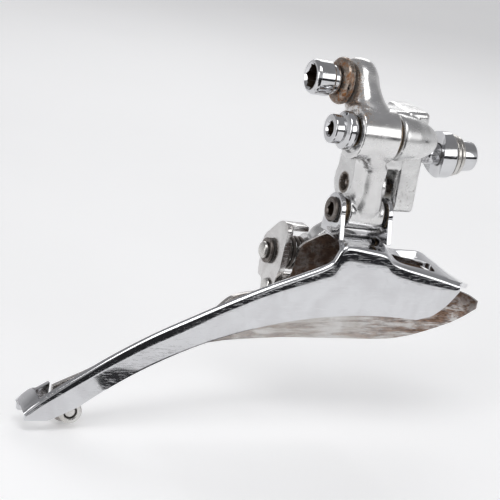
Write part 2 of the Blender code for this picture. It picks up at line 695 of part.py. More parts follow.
# x, y, lower edge, upper edge
INNER_STATIONS = [
    (-81.7, -7.6, -59.4, -55.0),
    (-78.0, -7.6, -58.6, -53.2),
    (-74.5, -7.5, -57.0, -51.6),
    (-70.0, -7.2, -54.2, -49.2),
    (-62.0, -6.2, -50.0, -45.2),
    (-54.0, -4.9, -47.2, -42.0),
    (-47.0, -3.5, -46.0, -40.2),
    (-44.4, -3.0, -45.8, -38.2),
    (-40.5, -2.3, -45.5, -35.2),
    (-36.0, -1.8, -45.3, -34.2),
    (-31.0, -1.4, -45.1, -33.8),
    (-28.2, -1.2, -45.0, -31.4),
    (-26.0, -1.1, -44.9, -29.6),
    (-25.2, -1.1, -44.9, -23.6),
    (-22.0, -1.0, -44.9, -21.4),
    (-18.5, -1.0, -44.9, -20.0),
    (-9.0, -1.0, -44.9, -21.4),
    (-4.0, -1.0, -44.9, -24.2),
    (1.0, -1.0, -44.7, -24.6),
    (6.0, -1.1, -43.9, -26.4),
    (12.0, -1.4, -42.0, -30.0),
    (17.0, -2.1, -39.8, -31.9),
    (20.0, -3.2, -37.6, -32.8),
    (21.7, -4.6, -35.6, -33.8),
]


def make_inner_plate(parent):
    rows = []
    for x, y, low, top in INNER_STATIONS:
        rows.append([(x, y, low + (top - low) * step / 4) for step in range(5)])
    inner = sheet("inner_cage_plate", rows, lambda i, j: True)
    y, z = RIVET_PLACE
    ear_outline_points = [(-1.3, -38.6), (6.2, -38.6), (6.2, -34.4), (4.8, -32.9), (-1.3, -32.9)]
    ear = plate("inner_plate_ear", ear_outline_points, (-25.85, -24.7), LINKAGE,
                [(y, z, RIVET_RADIUS + GAP)])
    lobe = disc_on_y("inner_plate_lobe", 3.6, (-8.2, -7.0), TAIL_SCREW)
    join(inner, ear, lobe)
    cut(inner, disc_on_y("inner_plate_screw_hole", SCREW_RADIUS + GAP, (-9.0, -6.0), TAIL_SCREW))
    for side, place in FLANGE_RIVETS.items():
        cut(inner, disc_on_y(side + "_rivet_hole", FLANGE_RIVET_RADIUS + GAP, (-3.0, 1.0), place))
    return finish(inner, "chrome", parent)


def disc_on_y(name, radius, span, place):
    """A round bar along y, from span[0] to span[1], at place (x, z)."""
    frame = Matrix.Translation((place[0] * MM, 0, place[1] * MM)) @ Matrix.Rotation(
        math.pi / 2, 4, "Z")
    return cylinder(name, radius, span, frame=frame, segments=SMALL_SEGMENTS)


def turned_on_y(name, profile, place, hollow=False):
    frame = Matrix.Translation((place[0] * MM, 0, place[1] * MM)) @ Matrix.Rotation(
        math.pi / 2, 4, "Z")
    return turned(name, profile, frame=frame, hollow=hollow, segments=SMALL_SEGMENTS)


def make_bracket(parent):
    """Steel bracket on the inner plate, holding the inner link's lower pivot."""
    y, z = INNER_LOWER
    hole = (y, z, INNER_PIN_RADIUS + GAP)
    rivet_hole = (RIVET_PLACE[0], RIVET_PLACE[1], RIVET_RADIUS + GAP)
    rear_outline = ([(0.2, -38.4), (6.4, -38.4), (7.2, -35.2), (9.6, -34.9)]
                    + arc(y, z, 4.7, -20, 60, 6)
                    + [(4.6, -20.9), (2.6, -19.9), (0.4, -19.9), (-0.9, -21.2),
                       (-0.9, -30.6), (0.2, -33.0)])
    front_outline = [(4.0, -35.0), (9.6, -35.0)] + arc(y, z, 4.7, -20, 200, 12) + [(1.5, -32.0)]
    bracket = plate("inner_link_bracket", rear_outline, (-27.6, -26.2), LINKAGE,
                    [hole, rivet_hole])
    front = plate("bracket_front_leg", front_outline, (-13.9, -12.5), LINKAGE, [hole])
    floor = box("bracket_floor", (-26.6, 6.9, -34.9), (-13.0, 9.5, -33.6), LINKAGE)
    tab = box("bracket_tab", (-26.6, -0.9, -21.3), (-22.4, 2.8, -19.95), LINKAGE)
    join(bracket, front, floor, tab)
    return finish(bracket, "steel", parent)


def make_cage_pins(parent):
    """The pins fixed in the cage: the knuckle's hollow bolt and the bracket's pin."""
    shank = OUTER_PIN_RADIUS
    profile = [(-5.7, 0), (-5.7, 1.8), (-6.0, 2.4), (-6.45, 2.4), (-6.45, shank),
               (-20.1, shank), (-20.1, 2.8), (-20.6, 2.9), (-20.9, 2.6), (-20.9, 0)]
    bolt = turned("outer_lower_pivot_bolt", profile, OUTER_LOWER, LINKAGE)
    cut(bolt, hexagon_socket("outer_lower_socket", 3.0, (-22.0, -18.6), OUTER_LOWER, LINKAGE))
    finish(bolt, "dark_steel", parent)

    pin = INNER_PIN_RADIUS
    profile = [(-11.4, 0), (-11.5, 1.6), (-12.2, 2.1), (-12.2, pin), (-28.9, pin), (-28.9, 2.0),
               (-29.6, 1.8), (-30.0, 1.1), (-30.1, 0)]
    finish(turned("inner_lower_pivot_pin", profile, INNER_LOWER, LINKAGE,
                  segments=SMALL_SEGMENTS), "steel", parent)

    bore = pin + GAP
    profile = [(-27.9, bore), (-27.9, 2.9), (-28.6, 2.9), (-28.6, bore)]
    finish(turned("retaining_ring", profile, INNER_LOWER, LINKAGE, hollow=True,
                  segments=SMALL_SEGMENTS), "dark_steel", parent)


def make_return_spring(parent):
    """Torsion spring around the lower inner pin; one leg hooks under the bracket's tab."""
    turns = 4.6
    steps_per_turn = 14
    coil_radius = 3.5
    rear = -25.3
    front = -20.1
    y, z = INNER_LOWER
    count = int(turns * steps_per_turn)
    points = [(rear, y - coil_radius, z + 5.2)]
    for step in range(count + 1):
        angle = math.radians(180) + 2 * math.pi * step / steps_per_turn
        x = rear + (front - rear) * step / count
        points.append((x, y + coil_radius * math.cos(angle), z - coil_radius * math.sin(angle)))
    last = points[-1]
    points.append((last[0], last[1] - 0.3, last[2] + 1.2))
    return finish(wire("return_spring", points, 0.9, LINKAGE), "dark_steel", parent)


def make_cage_fasteners(parent):
    """The rivet through bracket and ear, the flange rivets, and the tail's screw."""
    radius = RIVET_RADIUS
    profile = [(-23.6, 0), (-23.6, 1.5), (-24.4, 1.9), (-24.4, radius), (-27.9, radius),
               (-27.9, 1.9), (-28.5, 1.6), (-28.7, 0)]
    finish(turned("bracket_rivet", profile, RIVET_PLACE, LINKAGE, segments=SMALL_SEGMENTS),
           "steel", parent)

    for side, place in FLANGE_RIVETS.items():
        radius = FLANGE_RIVET_RADIUS
        profile = [(0.35, 0), (0.35, 1.2), (-0.1, 1.6), (-0.1, radius), (-1.9, radius),
                   (-1.9, 1.6), (-2.3, 1.2), (-2.3, 0)]
        finish(turned_on_y(side + "_flange_rivet", profile, place), "steel", parent)

    profile = [(-5.2, 0), (-5.2, 1.8), (-5.6, 2.2), (-6.7, 2.2), (-6.7, SCREW_RADIUS),
               (-11.5, SCREW_RADIUS), (-11.5, 0)]
    screw = turned_on_y("tail_screw", profile, TAIL_SCREW)
    x, z = TAIL_SCREW
    cut(screw, box("tail_screw_slot", (x - 3, -5.8, z - 0.3), (x + 3, -4.0, z + 0.3)))
    finish(screw, "steel", parent)

    bore = SCREW_RADIUS + GAP
    profile = [(-8.5, bore), (-8.5, 2.6), (-11.9, 2.6), (-11.9, bore)]
    finish(turned_on_y("tail_spacer", profile, TAIL_SCREW, hollow=True), "steel", parent)


# ------------------------------------------------------------------ assembly
def make_part():
    base = make_axis("mount_axis", MOUNT, 0, 0)
    outer_upper = make_axis("outer_upper_axis", LINKAGE, *OUTER_UPPER)
    outer_lower = make_axis("outer_lower_axis", LINKAGE, *OUTER_LOWER)
    inner_upper = make_axis("inner_upper_axis", LINKAGE, *INNER_UPPER)
    anchor_axis = make_axis("cable_anchor_axis", LINKAGE, *CABLE_ANCHOR)
    bpy.context.view_layer.update()

    make_body(base)
    make_fixing(base)
    limit_screw("low_limit_screw", LOW_SCREW_PLACE, "Z", -6.7, 4.1, base)
    limit_screw("high_limit_screw", HIGH_SCREW_PLACE, "Y", 5.0, 8.9, base)
    make_outer_upper_bolt(base)
    make_thrust_washer(base)
    make_inner_upper_pin(base)

    make_outer_link(outer_upper)
    make_bush("outer_upper_bush", OUTER_PIN_RADIUS, BUSH_WALL + 0.4, (-21.6, -13.3),
              OUTER_UPPER, outer_upper)
    make_bush("outer_lower_bush", OUTER_PIN_RADIUS, BUSH_WALL, (-18.3, -8.3),
              OUTER_LOWER, outer_upper)
    make_cable_anchor(anchor_axis)

    make_inner_link(inner_upper)
    make_bush("inner_upper_bush", INNER_PIN_RADIUS, BUSH_WALL, INNER_BARREL_SPAN,
              INNER_UPPER, inner_upper)
    make_bush("inner_lower_bush", INNER_PIN_RADIUS, BUSH_WALL, LOWER_BARREL_SPAN,
              INNER_LOWER, inner_upper)

    make_outer_plate(outer_lower)
    make_inner_plate(outer_lower)
    make_bracket(outer_lower)
    make_cage_pins(outer_lower)
    make_return_spring(outer_lower)
    make_cage_fasteners(outer_lower)


clear_scene()
PARTS = make_collection("front_derailleur")
CUTTERS = make_collection("cutters")
PALETTE = make_materials()
make_part()
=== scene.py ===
import json
import math

import bmesh
import bpy
from mathutils import Matrix, Vector


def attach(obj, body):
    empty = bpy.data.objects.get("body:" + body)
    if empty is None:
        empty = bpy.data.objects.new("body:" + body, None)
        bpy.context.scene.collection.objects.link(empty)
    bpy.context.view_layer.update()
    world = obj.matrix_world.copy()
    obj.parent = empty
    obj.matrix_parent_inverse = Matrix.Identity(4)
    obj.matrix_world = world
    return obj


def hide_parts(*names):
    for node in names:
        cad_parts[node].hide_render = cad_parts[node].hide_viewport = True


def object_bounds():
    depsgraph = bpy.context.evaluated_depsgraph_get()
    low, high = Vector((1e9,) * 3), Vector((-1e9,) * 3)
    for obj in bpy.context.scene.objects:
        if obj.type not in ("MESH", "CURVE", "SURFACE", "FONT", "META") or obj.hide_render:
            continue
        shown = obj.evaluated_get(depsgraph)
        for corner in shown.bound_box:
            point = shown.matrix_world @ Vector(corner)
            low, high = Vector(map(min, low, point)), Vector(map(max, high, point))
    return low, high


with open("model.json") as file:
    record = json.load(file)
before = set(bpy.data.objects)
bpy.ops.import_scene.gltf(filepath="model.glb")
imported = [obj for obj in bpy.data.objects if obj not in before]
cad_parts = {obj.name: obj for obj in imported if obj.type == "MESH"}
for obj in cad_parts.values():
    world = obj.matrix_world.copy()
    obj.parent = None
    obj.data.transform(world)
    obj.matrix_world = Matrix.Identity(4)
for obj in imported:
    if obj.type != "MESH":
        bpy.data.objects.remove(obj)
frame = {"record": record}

# Looks of the front derailleur: every CAD node is replaced by a fine piece of the same size.
# Lengths are in millimetres, in the frame of the part: +X forward, +Y inboard, +Z up.
# The linkage's pieces are drawn in LINKAGE, which leans nose down so that x runs along the pivots.
CAD_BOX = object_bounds()
MM = 0.001
GAP = 0.25                      # clearance between touching pieces
ROUND = 96                      # sides of a turned piece
VOXEL = 0.2                     # cell of the castings' skin
MERGE = 0.0005                  # points closer than this are one
SHEET_STEP = 0.6                # between two rows of a pressed plate
SHARP_ANGLE = 35                # degrees between faces, from which an edge stays sharp
PIVOT_TILT = math.radians(3.2)
MOUNT = Matrix.Identity(4)
LINKAGE = Matrix.Rotation(PIVOT_TILT, 4, "Y")

# ---- pivots as (y, z) in the leaning frame
OUTER_UPPER = (-10.0, 5.0)
LINK_VECTOR = (4.7, -19.1)
INNER_OFFSET = (11.4, -14.1)
OUTER_LOWER = (OUTER_UPPER[0] + LINK_VECTOR[0], OUTER_UPPER[1] + LINK_VECTOR[1])
INNER_UPPER = (OUTER_UPPER[0] + INNER_OFFSET[0], OUTER_UPPER[1] + INNER_OFFSET[1])
INNER_LOWER = (INNER_UPPER[0] + LINK_VECTOR[0], INNER_UPPER[1] + LINK_VECTOR[1])
CABLE_ANCHOR = (-1.5, 14.3)     # cable bolt's axis, on the outer link
REAR_LUG = (INNER_UPPER[0] + 1.0, INNER_UPPER[1] + 0.3)

# ---- radii and thicknesses
OUTER_PIN = 2.0                 # pins of the outer link
INNER_PIN = 1.5                 # pins of the inner link
BUSH_WALL = 0.55
UPPER_BUSH_WALL = 0.95
BOLT = 2.4                      # the two M5 bolts
BOLT_KEY = 5.0                  # across the flats of their sockets
PIVOT_KEY = 3.0
SCREW = 1.25                    # the two limit screws and the tail's screw
SCREW_HEAD = 2.1
SLOT = 0.6                      # width of a screwdriver slot
RIVET = 1.1
FLANGE_RIVET = 0.9
SHEET = 1.2                     # steel sheet

# ---- rear and front x of barrels, and of the bushes in them
UPPER_BOSS_SPAN = (-22.4, -13.1)
UPPER_BUSH_SPAN = (-21.6, -13.3)
KNUCKLE_SPAN = (-17.6, -8.9)
KNUCKLE_BUSH_SPAN = (-18.3, -8.3)
INNER_BARREL_SPAN = (-11.6, -6.4)
LOWER_BARREL_SPAN = (-19.2, -14.3)
REAR_LUG_SPAN = (-15.3, -12.0)
BODY_BOSS_FACE = -11.9          # rear face of the body's pivot boss

# ---- chain cage
CAGE_Y = -12.8                  # middle of the outer plate's wall
TAIL_Y = -7.6                   # middle of the tail's inner wall
ROOF_END_Y = -2.6               # inboard edge of the roof over the chain
CHAINRING_CENTRE = (-10.9, -143.9)
LOWER_EDGE_RADIUS = 108.7       # the lower edge follows a 53-tooth chainring,
TAIL_START_X = -77.0            # between this x
NOSE_START_X = 1.0              # and this one,
TAIL_END_X = -82.3              # and has its own outline behind this x
NOSE_END_X = 4.4                # and in front of this one
ROOF_REAR_X = -20.3             # rear end of the roof over the chain
TAIL_ROOF_X = -85.6             # front end of the tail's roof

# ---- places of screws and rivets
LOW_SCREW_PLACE = (-8.3, 6.2)   # x and y of its upright axis
HIGH_SCREW_PLACE = (-11.3, -1.9)    # x and z of its crosswise axis
TAIL_SCREW = (-78.2, -59.6)     # x and z
RIVET_PLACE = (3.4, -35.9)      # y and z of the bracket's rivet
FLANGE_RIVETS = {"rear": (-14.0, -23.4), "front": (-8.0, -24.2)}     # x and z


# ------------------------------------------------------------------ mesh helpers
def wrap(name, bm, place=MOUNT):
    """An object from a bmesh drawn in millimetres in the frame place."""
    bmesh.ops.transform(bm, matrix=place @ Matrix.Scale(MM, 4), verts=bm.verts)
    bmesh.ops.recalc_face_normals(bm, faces=bm.faces)
    mesh = bpy.data.meshes.new(name)
    bm.to_mesh(mesh)
    bm.free()
    item = bpy.data.objects.new(name, mesh)
    bpy.context.scene.collection.objects.link(item)
    return item


def apply_modifiers(item):
    bpy.context.view_layer.update()
    evaluated = item.evaluated_get(bpy.context.evaluated_depsgraph_get())
    mesh = bpy.data.meshes.new_from_object(evaluated)
    item.modifiers.clear()
    item.data = mesh
    return item


def combine(target, operation, tools, solver="EXACT"):
    """Join tools to the target or cut them out of it, and remove them."""
    for tool in tools:
        modifier = target.modifiers.new(operation, "BOOLEAN")
        modifier.operation = operation
        modifier.object = tool
        modifier.solver = solver
        apply_modifiers(target)
        bpy.data.objects.remove(tool, do_unlink=True)
    return target


def join(target, *tools, solver="EXACT"):
    return combine(target, "UNION", tools, solver)


def cut(target, *tools, solver="EXACT"):
    return combine(target, "DIFFERENCE", tools, solver)


def drill(item, *holes):
    """Cut round holes (radius, span, centre) that run along the linkage's pivots."""
    tools = [cylinder("hole", radius, span, centre, LINKAGE) for radius, span, centre in holes]
    return cut(item, *tools, solver="MANIFOLD")


def bevel(item, width, segments=3, angle=40):
    modifier = item.modifiers.new("edges", "BEVEL")
    modifier.width = width * MM
    modifier.segments = segments
    modifier.limit_method = "ANGLE"
    modifier.angle_limit = math.radians(angle)
    return apply_modifiers(item)


def soften(item, passes):
    """Melt joined shapes into one casting, with fillets where they meet."""
    remesh = item.modifiers.new("skin", "REMESH")
    remesh.mode = "VOXEL"
    remesh.voxel_size = VOXEL * MM
    smooth = item.modifiers.new("fillets", "SMOOTH")
    smooth.factor = 0.5
    smooth.iterations = passes
    return apply_modifiers(item)


def rounded_corners(points, radius, closed):
    """The outline with each corner turned into a small curve."""
    made = []
    count = len(points)
    for index, point in enumerate(points):
        corner = Vector(point)
        if (not closed and index in (0, count - 1)):
            made.append(tuple(corner))
            continue
        before = Vector(points[index - 1]) - corner
        after = Vector(points[(index + 1) % count]) - corner
        if before.angle(after) > math.radians(165):
            made.append(tuple(corner))
            continue
        reach = min(radius, 0.45 * before.length, 0.45 * after.length)
        first = corner + before.normalized() * reach
        last = corner + after.normalized() * reach
        for t in (0.0, 0.25, 0.5, 0.75, 1.0):
            made.append(tuple(first * (1 - t) ** 2 + corner * 2 * t * (1 - t) + last * t ** 2))
    return made


def turned(name, profile, centre=(0, 0), place=MOUNT, hollow=False, fillet=0.22, steps=ROUND):
    """A turned piece along x, from a profile of (x, radius) points with its corners rounded."""
    points = rounded_corners(profile, fillet, hollow)
    bm = bmesh.new()
    rings = []
    for step in range(steps):
        angle = 2 * math.pi * step / steps
        rings.append([bm.verts.new((x, centre[0] + radius * math.cos(angle),
                                    centre[1] + radius * math.sin(angle)))
                      for x, radius in points])
    count = len(points)
    for step in range(steps):
        ring = rings[step]
        other = rings[(step + 1) % steps]
        for index in range(count if hollow else count - 1):
            following = (index + 1) % count
            bm.faces.new((ring[index], ring[following], other[following], other[index]))
    bmesh.ops.remove_doubles(bm, verts=bm.verts, dist=0.0001)
    return wrap(name, bm, place)


def cylinder(name, radius, span, centre=(0, 0), place=MOUNT, steps=ROUND, end_radius=None):
    last = radius if end_radius is None else end_radius
    profile = [(span[0], 0), (span[0], radius), (span[1], last), (span[1], 0)]
    return turned(name, profile, centre, place, fillet=0.0, steps=steps)


def ring(name, bore, outer, span, centre=(0, 0), place=LINKAGE, fillet=0.25, steps=ROUND):
    """A washer, bush or spacer."""
    profile = [(span[1], bore), (span[1], outer), (span[0], outer), (span[0], bore)]
    return turned(name, profile, centre, place, True, fillet, steps)


def socket(item, across_flats, mouth, depth, centre=(0, 0), place=MOUNT, facing=-1):
    """Cut a hexagon socket with a worn chamfer into the head whose face is at x = mouth."""
    corner = across_flats / math.sqrt(3)
    bottom = mouth - facing * depth
    outside = mouth + facing
    hexagon = cylinder("hexagon", corner, (bottom, outside), centre, place, steps=6)
    worn = 0.18                     # of the chamfer beyond the hexagon's corners, at the mouth
    spare = 0.05
    cone_end = mouth - facing * 0.55
    wide = corner + worn + spare
    cone = [(cone_end, 0), (cone_end, corner + worn - 0.5), (mouth + facing * spare, wide),
            (outside, wide), (outside, 0)]
    chamfer = turned("chamfer", cone, centre, place, fillet=0.0)
    cut(item, hexagon, chamfer)
    # Faces deep in the hexagon take the second material slot, a near-black painted shade.
    back = place.inverted()
    for face in item.data.polygons:
        x, y, z = back @ face.center / MM
        if math.hypot(y - centre[0], z - centre[1]) < corner + 0.02:
            face.material_index = int(0.3 < (mouth - x) * facing < depth + 0.1)
    return item


def block(name, low, high, place=MOUNT, edge=0.0):
    bm = bmesh.new()
    bmesh.ops.create_cube(bm, size=1.0)
    size = Vector(high) - Vector(low)
    bmesh.ops.scale(bm, vec=size, verts=bm.verts)
    bmesh.ops.translate(bm, vec=(Vector(high) + Vector(low)) / 2, verts=bm.verts)
    item = wrap(name, bm, place)
    if edge:
        bevel(item, edge, 4)
    return item


def arc(y, z, radius, start, end, count):
    angles = [math.radians(start + (end - start) * step / count) for step in range(count + 1)]
    return [(y + radius * math.cos(angle), z + radius * math.sin(angle)) for angle in angles]


def bmesh_of(curve, lines, cyclic):
    """A bmesh of the curve, once its splines run through the lines of points."""
    for points in lines:
        spline = curve.splines.new("POLY")
        spline.points.add(len(points) - 1)
        for point, place in zip(spline.points, points):
            point.co = (*Vector(place).to_3d(), 1)
        spline.use_cyclic_u = cyclic
    source = bpy.data.objects.new(curve.name, curve)
    bpy.context.scene.collection.objects.link(source)
    bpy.context.view_layer.update()
    mesh = bpy.data.meshes.new_from_object(
        source.evaluated_get(bpy.context.evaluated_depsgraph_get()))
    bpy.data.objects.remove(source, do_unlink=True)
    bm = bmesh.new()
    bm.from_mesh(mesh)
    bmesh.ops.remove_doubles(bm, verts=bm.verts, dist=MERGE)
    return bm


def plate(name, outline, span, place=MOUNT, holes=(), edge=0.2, corner=0.6):
    """A flat plate square to x, from its (y, z) outline and round holes (y, z, radius)."""
    curve = bpy.data.curves.new(name, "CURVE")
    curve.dimensions = "2D"
    curve.fill_mode = "BOTH"
    curve.extrude = (span[1] - span[0]) / 2
    lines = [rounded_corners(outline, corner, True)]
    lines += [arc(y, z, radius, 0, 360, 48)[:-1] for y, z, radius in holes]
    bm = bmesh_of(curve, lines, True)
    bmesh.ops.dissolve_limit(bm, angle_limit=0.01, verts=bm.verts, edges=bm.edges)
    to_yz = Matrix(((0, 0, 1, (span[0] + span[1]) / 2), (1, 0, 0, 0), (0, 1, 0, 0), (0, 0, 0, 1)))
    bmesh.ops.transform(bm, matrix=to_yz, verts=bm.verts)
    item = wrap(name, bm, place)
    if edge:
        bevel(item, edge)
    return item


def track(stations, column, x):
    """Smooth value of one column of the stations at x, with no overshoot."""
    known = [(row[0], row[column]) for row in stations if row[column] is not None]
    if x <= known[0][0]:
        return known[0][1]
    if x >= known[-1][0]:
        return known[-1][1]
    spans = [(b[1] - a[1]) / (b[0] - a[0]) for a, b in zip(known, known[1:])]
    index = next(i for i in range(len(spans)) if known[i + 1][0] >= x)

    def slope(place):
        if place in (0, len(spans)):
            return spans[min(place, len(spans) - 1)]
        first, second = spans[place - 1], spans[place]
        return 0.0 if first * second <= 0 else 2 * first * second / (first + second)

    width = known[index + 1][0] - known[index][0]
    t = (x - known[index][0]) / width
    start, end = known[index][1], known[index + 1][1]
    return ((2 * t ** 3 - 3 * t ** 2 + 1) * start + (t ** 3 - 2 * t ** 2 + t) * width * slope(index)
            + (3 * t ** 2 - 2 * t ** 3) * end + (t ** 3 - t ** 2) * width * slope(index + 1))


def fine_steps(stations):
    """Every station's x, with more in between."""
    xs = []
    for first, second in zip(stations, stations[1:]):
        count = max(1, round((second[0] - first[0]) / SHEET_STEP))
        xs += [first[0] + (second[0] - first[0]) * part / count for part in range(count)]
    return xs + [stations[-1][0]]


def sheet(name, rows, wanted=lambda i, j: True):
    """Pressed sheet metal: a fine grid, thickened both ways, with its cut edges rounded."""
    bm = bmesh.new()
    grid = [[bm.verts.new(point) for point in row] for row in rows]
    for i in range(len(rows) - 1):
        for j in range(len(rows[0]) - 1):
            if wanted(i, j):
                bm.faces.new((grid[i][j], grid[i + 1][j], grid[i + 1][j + 1], grid[i][j + 1]))
    bmesh.ops.delete(bm, geom=[v for v in bm.verts if not v.link_faces], context="VERTS")
    item = wrap(name, bm)
    solidify = item.modifiers.new("thickness", "SOLIDIFY")
    solidify.thickness = SHEET * MM
    solidify.offset = 0.0
    solidify.use_even_offset = True
    apply_modifiers(item)
    return bevel(item, 0.3, angle=60)


def forged_bar(name, sections, squareness=2.7):
    """A bar of rounded sections (y, z, lean, half thickness, x rear, x front) along its path."""
    corners = 48
    between = 6                     # steps from one section to the next
    stations = [(index, *section) for index, section in enumerate(sections)]
    bm = bmesh.new()
    rings = []
    for part in range((len(sections) - 1) * between + 1):
        y, z, lean, half, x_rear, x_front = (track(stations, column, part / between)
                                             for column in range(1, 7))
        across = Vector((0, math.cos(math.radians(lean)), math.sin(math.radians(lean))))
        ring = []
        for corner in range(corners):
            angle = 2 * math.pi * (corner + 0.5) / corners
            wide = math.copysign(abs(math.cos(angle)) ** (2 / squareness), math.cos(angle))
            thick = math.copysign(abs(math.sin(angle)) ** (2 / squareness), math.sin(angle))
            middle = Vector(((x_rear + x_front) / 2 + wide * (x_front - x_rear) / 2, y, z))
            ring.append(bm.verts.new(middle + across * thick * half))
        rings.append(ring)
    for first, second in zip(rings, rings[1:]):
        for corner in range(corners):
            other = (corner + 1) % corners
            bm.faces.new((first[corner], first[other], second[other], second[corner]))
    bm.faces.new(rings[0])
    bm.faces.new(rings[-1])
    return wrap(name, bm, LINKAGE)


def on_y(place):
    """Frame whose x runs inboard through (x, z) in the mount frame."""
    return Matrix.Translation((place[0] * MM, 0, place[1] * MM)) @ Matrix.Rotation(
        math.pi / 2, 4, "Z")


def turned_to(direction, place):
    """Frame whose x runs up (Z) or inboard (Y) in the linkage, through place."""
    if direction == "Z":
        return (LINKAGE @ Matrix.Translation((place[0] * MM, place[1] * MM, 0))
                @ Matrix.Rotation(-math.pi / 2, 4, "Y"))
    return (LINKAGE @ Matrix.Translation((place[0] * MM, 0, place[1] * MM))
            @ Matrix.Rotation(math.pi / 2, 4, "Z"))


# ------------------------------------------------------------------ cast and forged pieces
def make_body():
    body = block("body_casting", (-5.8, -4.8, -13.2), (0.0, 7.0, 10.4), edge=1.1)
    upper = block("upper", (-11.0, -4.8, -3.6), (-5.0, 3.6, 10.2), edge=1.1)
    profile = [(-1.2, 0), (-1.4, 1.6), (-2.6, 3.0), (-4.6, 4.0), (-7.4, 4.8),
               (BODY_BOSS_FACE, 5.4), (BODY_BOSS_FACE, 0)]
    boss = turned("boss", profile, OUTER_UPPER, LINKAGE, fillet=1.2)
    web = block("web", (-10.7, -9.6, 1.2), (-3.4, -3.2, 9.0), LINKAGE, 1.4)
    rear_wall = block("rear_wall", (-15.3, -2.6, -9.1), (-12.0, 6.5, 0.8), LINKAGE, 0.7)
    bridge = block("bridge", (-13.4, -2.4, -3.3), (-9.6, 6.0, 0.6), LINKAGE, 0.5)
    lug = cylinder("lug", 4.4, REAR_LUG_SPAN, REAR_LUG, LINKAGE)
    housing = block("housing", (-13.0, 3.0, -4.5), (-5.4, 8.6, 3.8), LINKAGE, 0.6)
    join(body, upper, boss, web, rear_wall, bridge, lug, housing, solver="MANIFOLD")
    soften(body, 9)
    # machined after casting: flat seat and boss face, holes, and the inner link's room
    seat = block("seat", (0.0, -9.0, -16.0), (3.0, 9.0, 14.0))
    horn_room = block("horn_room", (-12.1, -3.4, -7.0), (-9.6, 4.7, -0.9), LINKAGE)
    fixing_hole = cylinder("fixing_hole", BOLT + GAP, (-8.2, 1.0))
    pivot_hole = cylinder("pivot_hole", OUTER_PIN + GAP, (-12.6, -3.4), OUTER_UPPER, LINKAGE)
    inner_hole = cylinder("inner_hole", INNER_PIN + 0.1 + GAP, (-16.0, -2.6), INNER_UPPER, LINKAGE)
    countersink = cylinder("countersink", 2.15, (-16.0, -15.0), INNER_UPPER, LINKAGE,
                           end_radius=1.85)
    low_hole = cylinder("low_hole", SCREW + GAP, (-12.0, 9.0),
                        place=turned_to("Z", LOW_SCREW_PLACE))
    high_hole = cylinder("high_hole", SCREW + GAP, (2.0, 12.0),
                         place=turned_to("Y", HIGH_SCREW_PLACE))
    cut(body, seat, horn_room, fixing_hole, pivot_hole, inner_hole, countersink, low_hole,
        high_hole, solver="MANIFOLD")
    return body


def along(start, direction):
    """A function that gives the section of a forged bar at a distance from its start."""
    way = Vector(direction).normalized()
    lean = math.degrees(math.atan(-direction[0] / direction[1]))

    def section(distance, half, rear, front, out=0.0):
        return (start[0] + way[0] * distance - out, start[1] + way[1] * distance, lean, half,
                rear, front)

    return section


def make_outer_link():
    on_top = along(OUTER_UPPER, [end - start for start, end in zip(OUTER_UPPER, CABLE_ANCHOR)])
    below = along(OUTER_UPPER, LINK_VECTOR)
    anchor = math.dist(OUTER_UPPER, CABLE_ANCHOR)
    link = math.hypot(*LINK_VECTOR)
    sections = [
        on_top(anchor + 5.3, 1.6, -21.2, -17.4),
        on_top(anchor + 4.6, 3.3, -21.9, -16.4),
        on_top(anchor + 2.6, 4.9, -21.9, -15.7),
        on_top(anchor, 5.5, -21.9, -15.3),
        on_top(anchor - 3.2, 5.0, -21.9, -15.0),
        on_top(anchor - 6.2, 4.9, -22.1, -14.2),
        on_top(4.0, 5.4, -22.2, -13.4),
        below(0.0, 5.9, -22.2, -13.3),
        below(4.0, 5.3, -21.0, -13.2),
        below(5.8, 4.6, -19.6, -12.5, out=0.2),
        below(7.4, 4.0, -18.4, -11.5, out=0.4),
        below(11.0, 3.6, -17.8, -11.4, out=0.8),
        below(14.2, 3.7, -17.4, -10.6, out=0.9),
        below(link - 1.8, 3.8, -17.5, -9.2, out=0.3),
        below(link + 1.2, 3.4, -17.5, -9.0),
        below(link + 3.3, 1.9, -17.3, -9.2),
    ]
    arm = forged_bar("outer_link_forging", sections, squareness=2.5)
    boss = cylinder("boss", 6.1, UPPER_BOSS_SPAN, OUTER_UPPER, LINKAGE)
    knuckle = cylinder("knuckle", 3.9, KNUCKLE_SPAN, OUTER_LOWER, LINKAGE)
    join(arm, boss, knuckle)
    soften(arm, 14)
    return drill(arm, (OUTER_PIN + UPPER_BUSH_WALL + 2 * GAP, (-24.0, -10.0), OUTER_UPPER),
                 (4.8, (-24.0, -21.8), OUTER_UPPER),
                 (OUTER_PIN + BUSH_WALL + 2 * GAP, (-20.0, -7.0), OUTER_LOWER),
                 (BOLT + GAP, (-25.0, -14.0), CABLE_ANCHOR))


def make_inner_link():
    at = along(INNER_UPPER, LINK_VECTOR)
    sections = [
        at(0.5, 2.4, -11.5, -6.6),
        at(4.6, 2.5, -11.8, -6.8),
        at(8.0, 2.4, -13.6, -8.4),
        at(11.5, 2.4, -16.6, -11.2),
        at(14.2, 2.6, -18.7, -14.0),
        at(math.hypot(*LINK_VECTOR) - 0.5, 3.2, -19.0, -14.5),
    ]
    link = forged_bar("inner_link_casting", sections)
    upper = cylinder("upper", 4.1, INNER_BARREL_SPAN, INNER_UPPER, LINKAGE)
    lower = cylinder("lower", 4.9, LOWER_BARREL_SPAN, INNER_LOWER, LINKAGE)
    horn = plate("horn", [(-0.7, -6.4), (-2.4, -2.2), (-0.4, -1.4), (2.2, -6.0)], (-11.8, -10.0),
                 LINKAGE)
    stop = plate("stop", [(3.0, -11.6), (3.0, -7.0), (7.6, -7.0), (7.6, -9.4)], (-9.4, -7.2),
                 LINKAGE)
    join(link, upper, lower, horn, stop)
    soften(link, 6)
    bore = INNER_PIN + BUSH_WALL + 2 * GAP
    return drill(link, (bore, (-13.0, -5.0), INNER_UPPER), (bore, (-21.0, -13.0), INNER_LOWER))


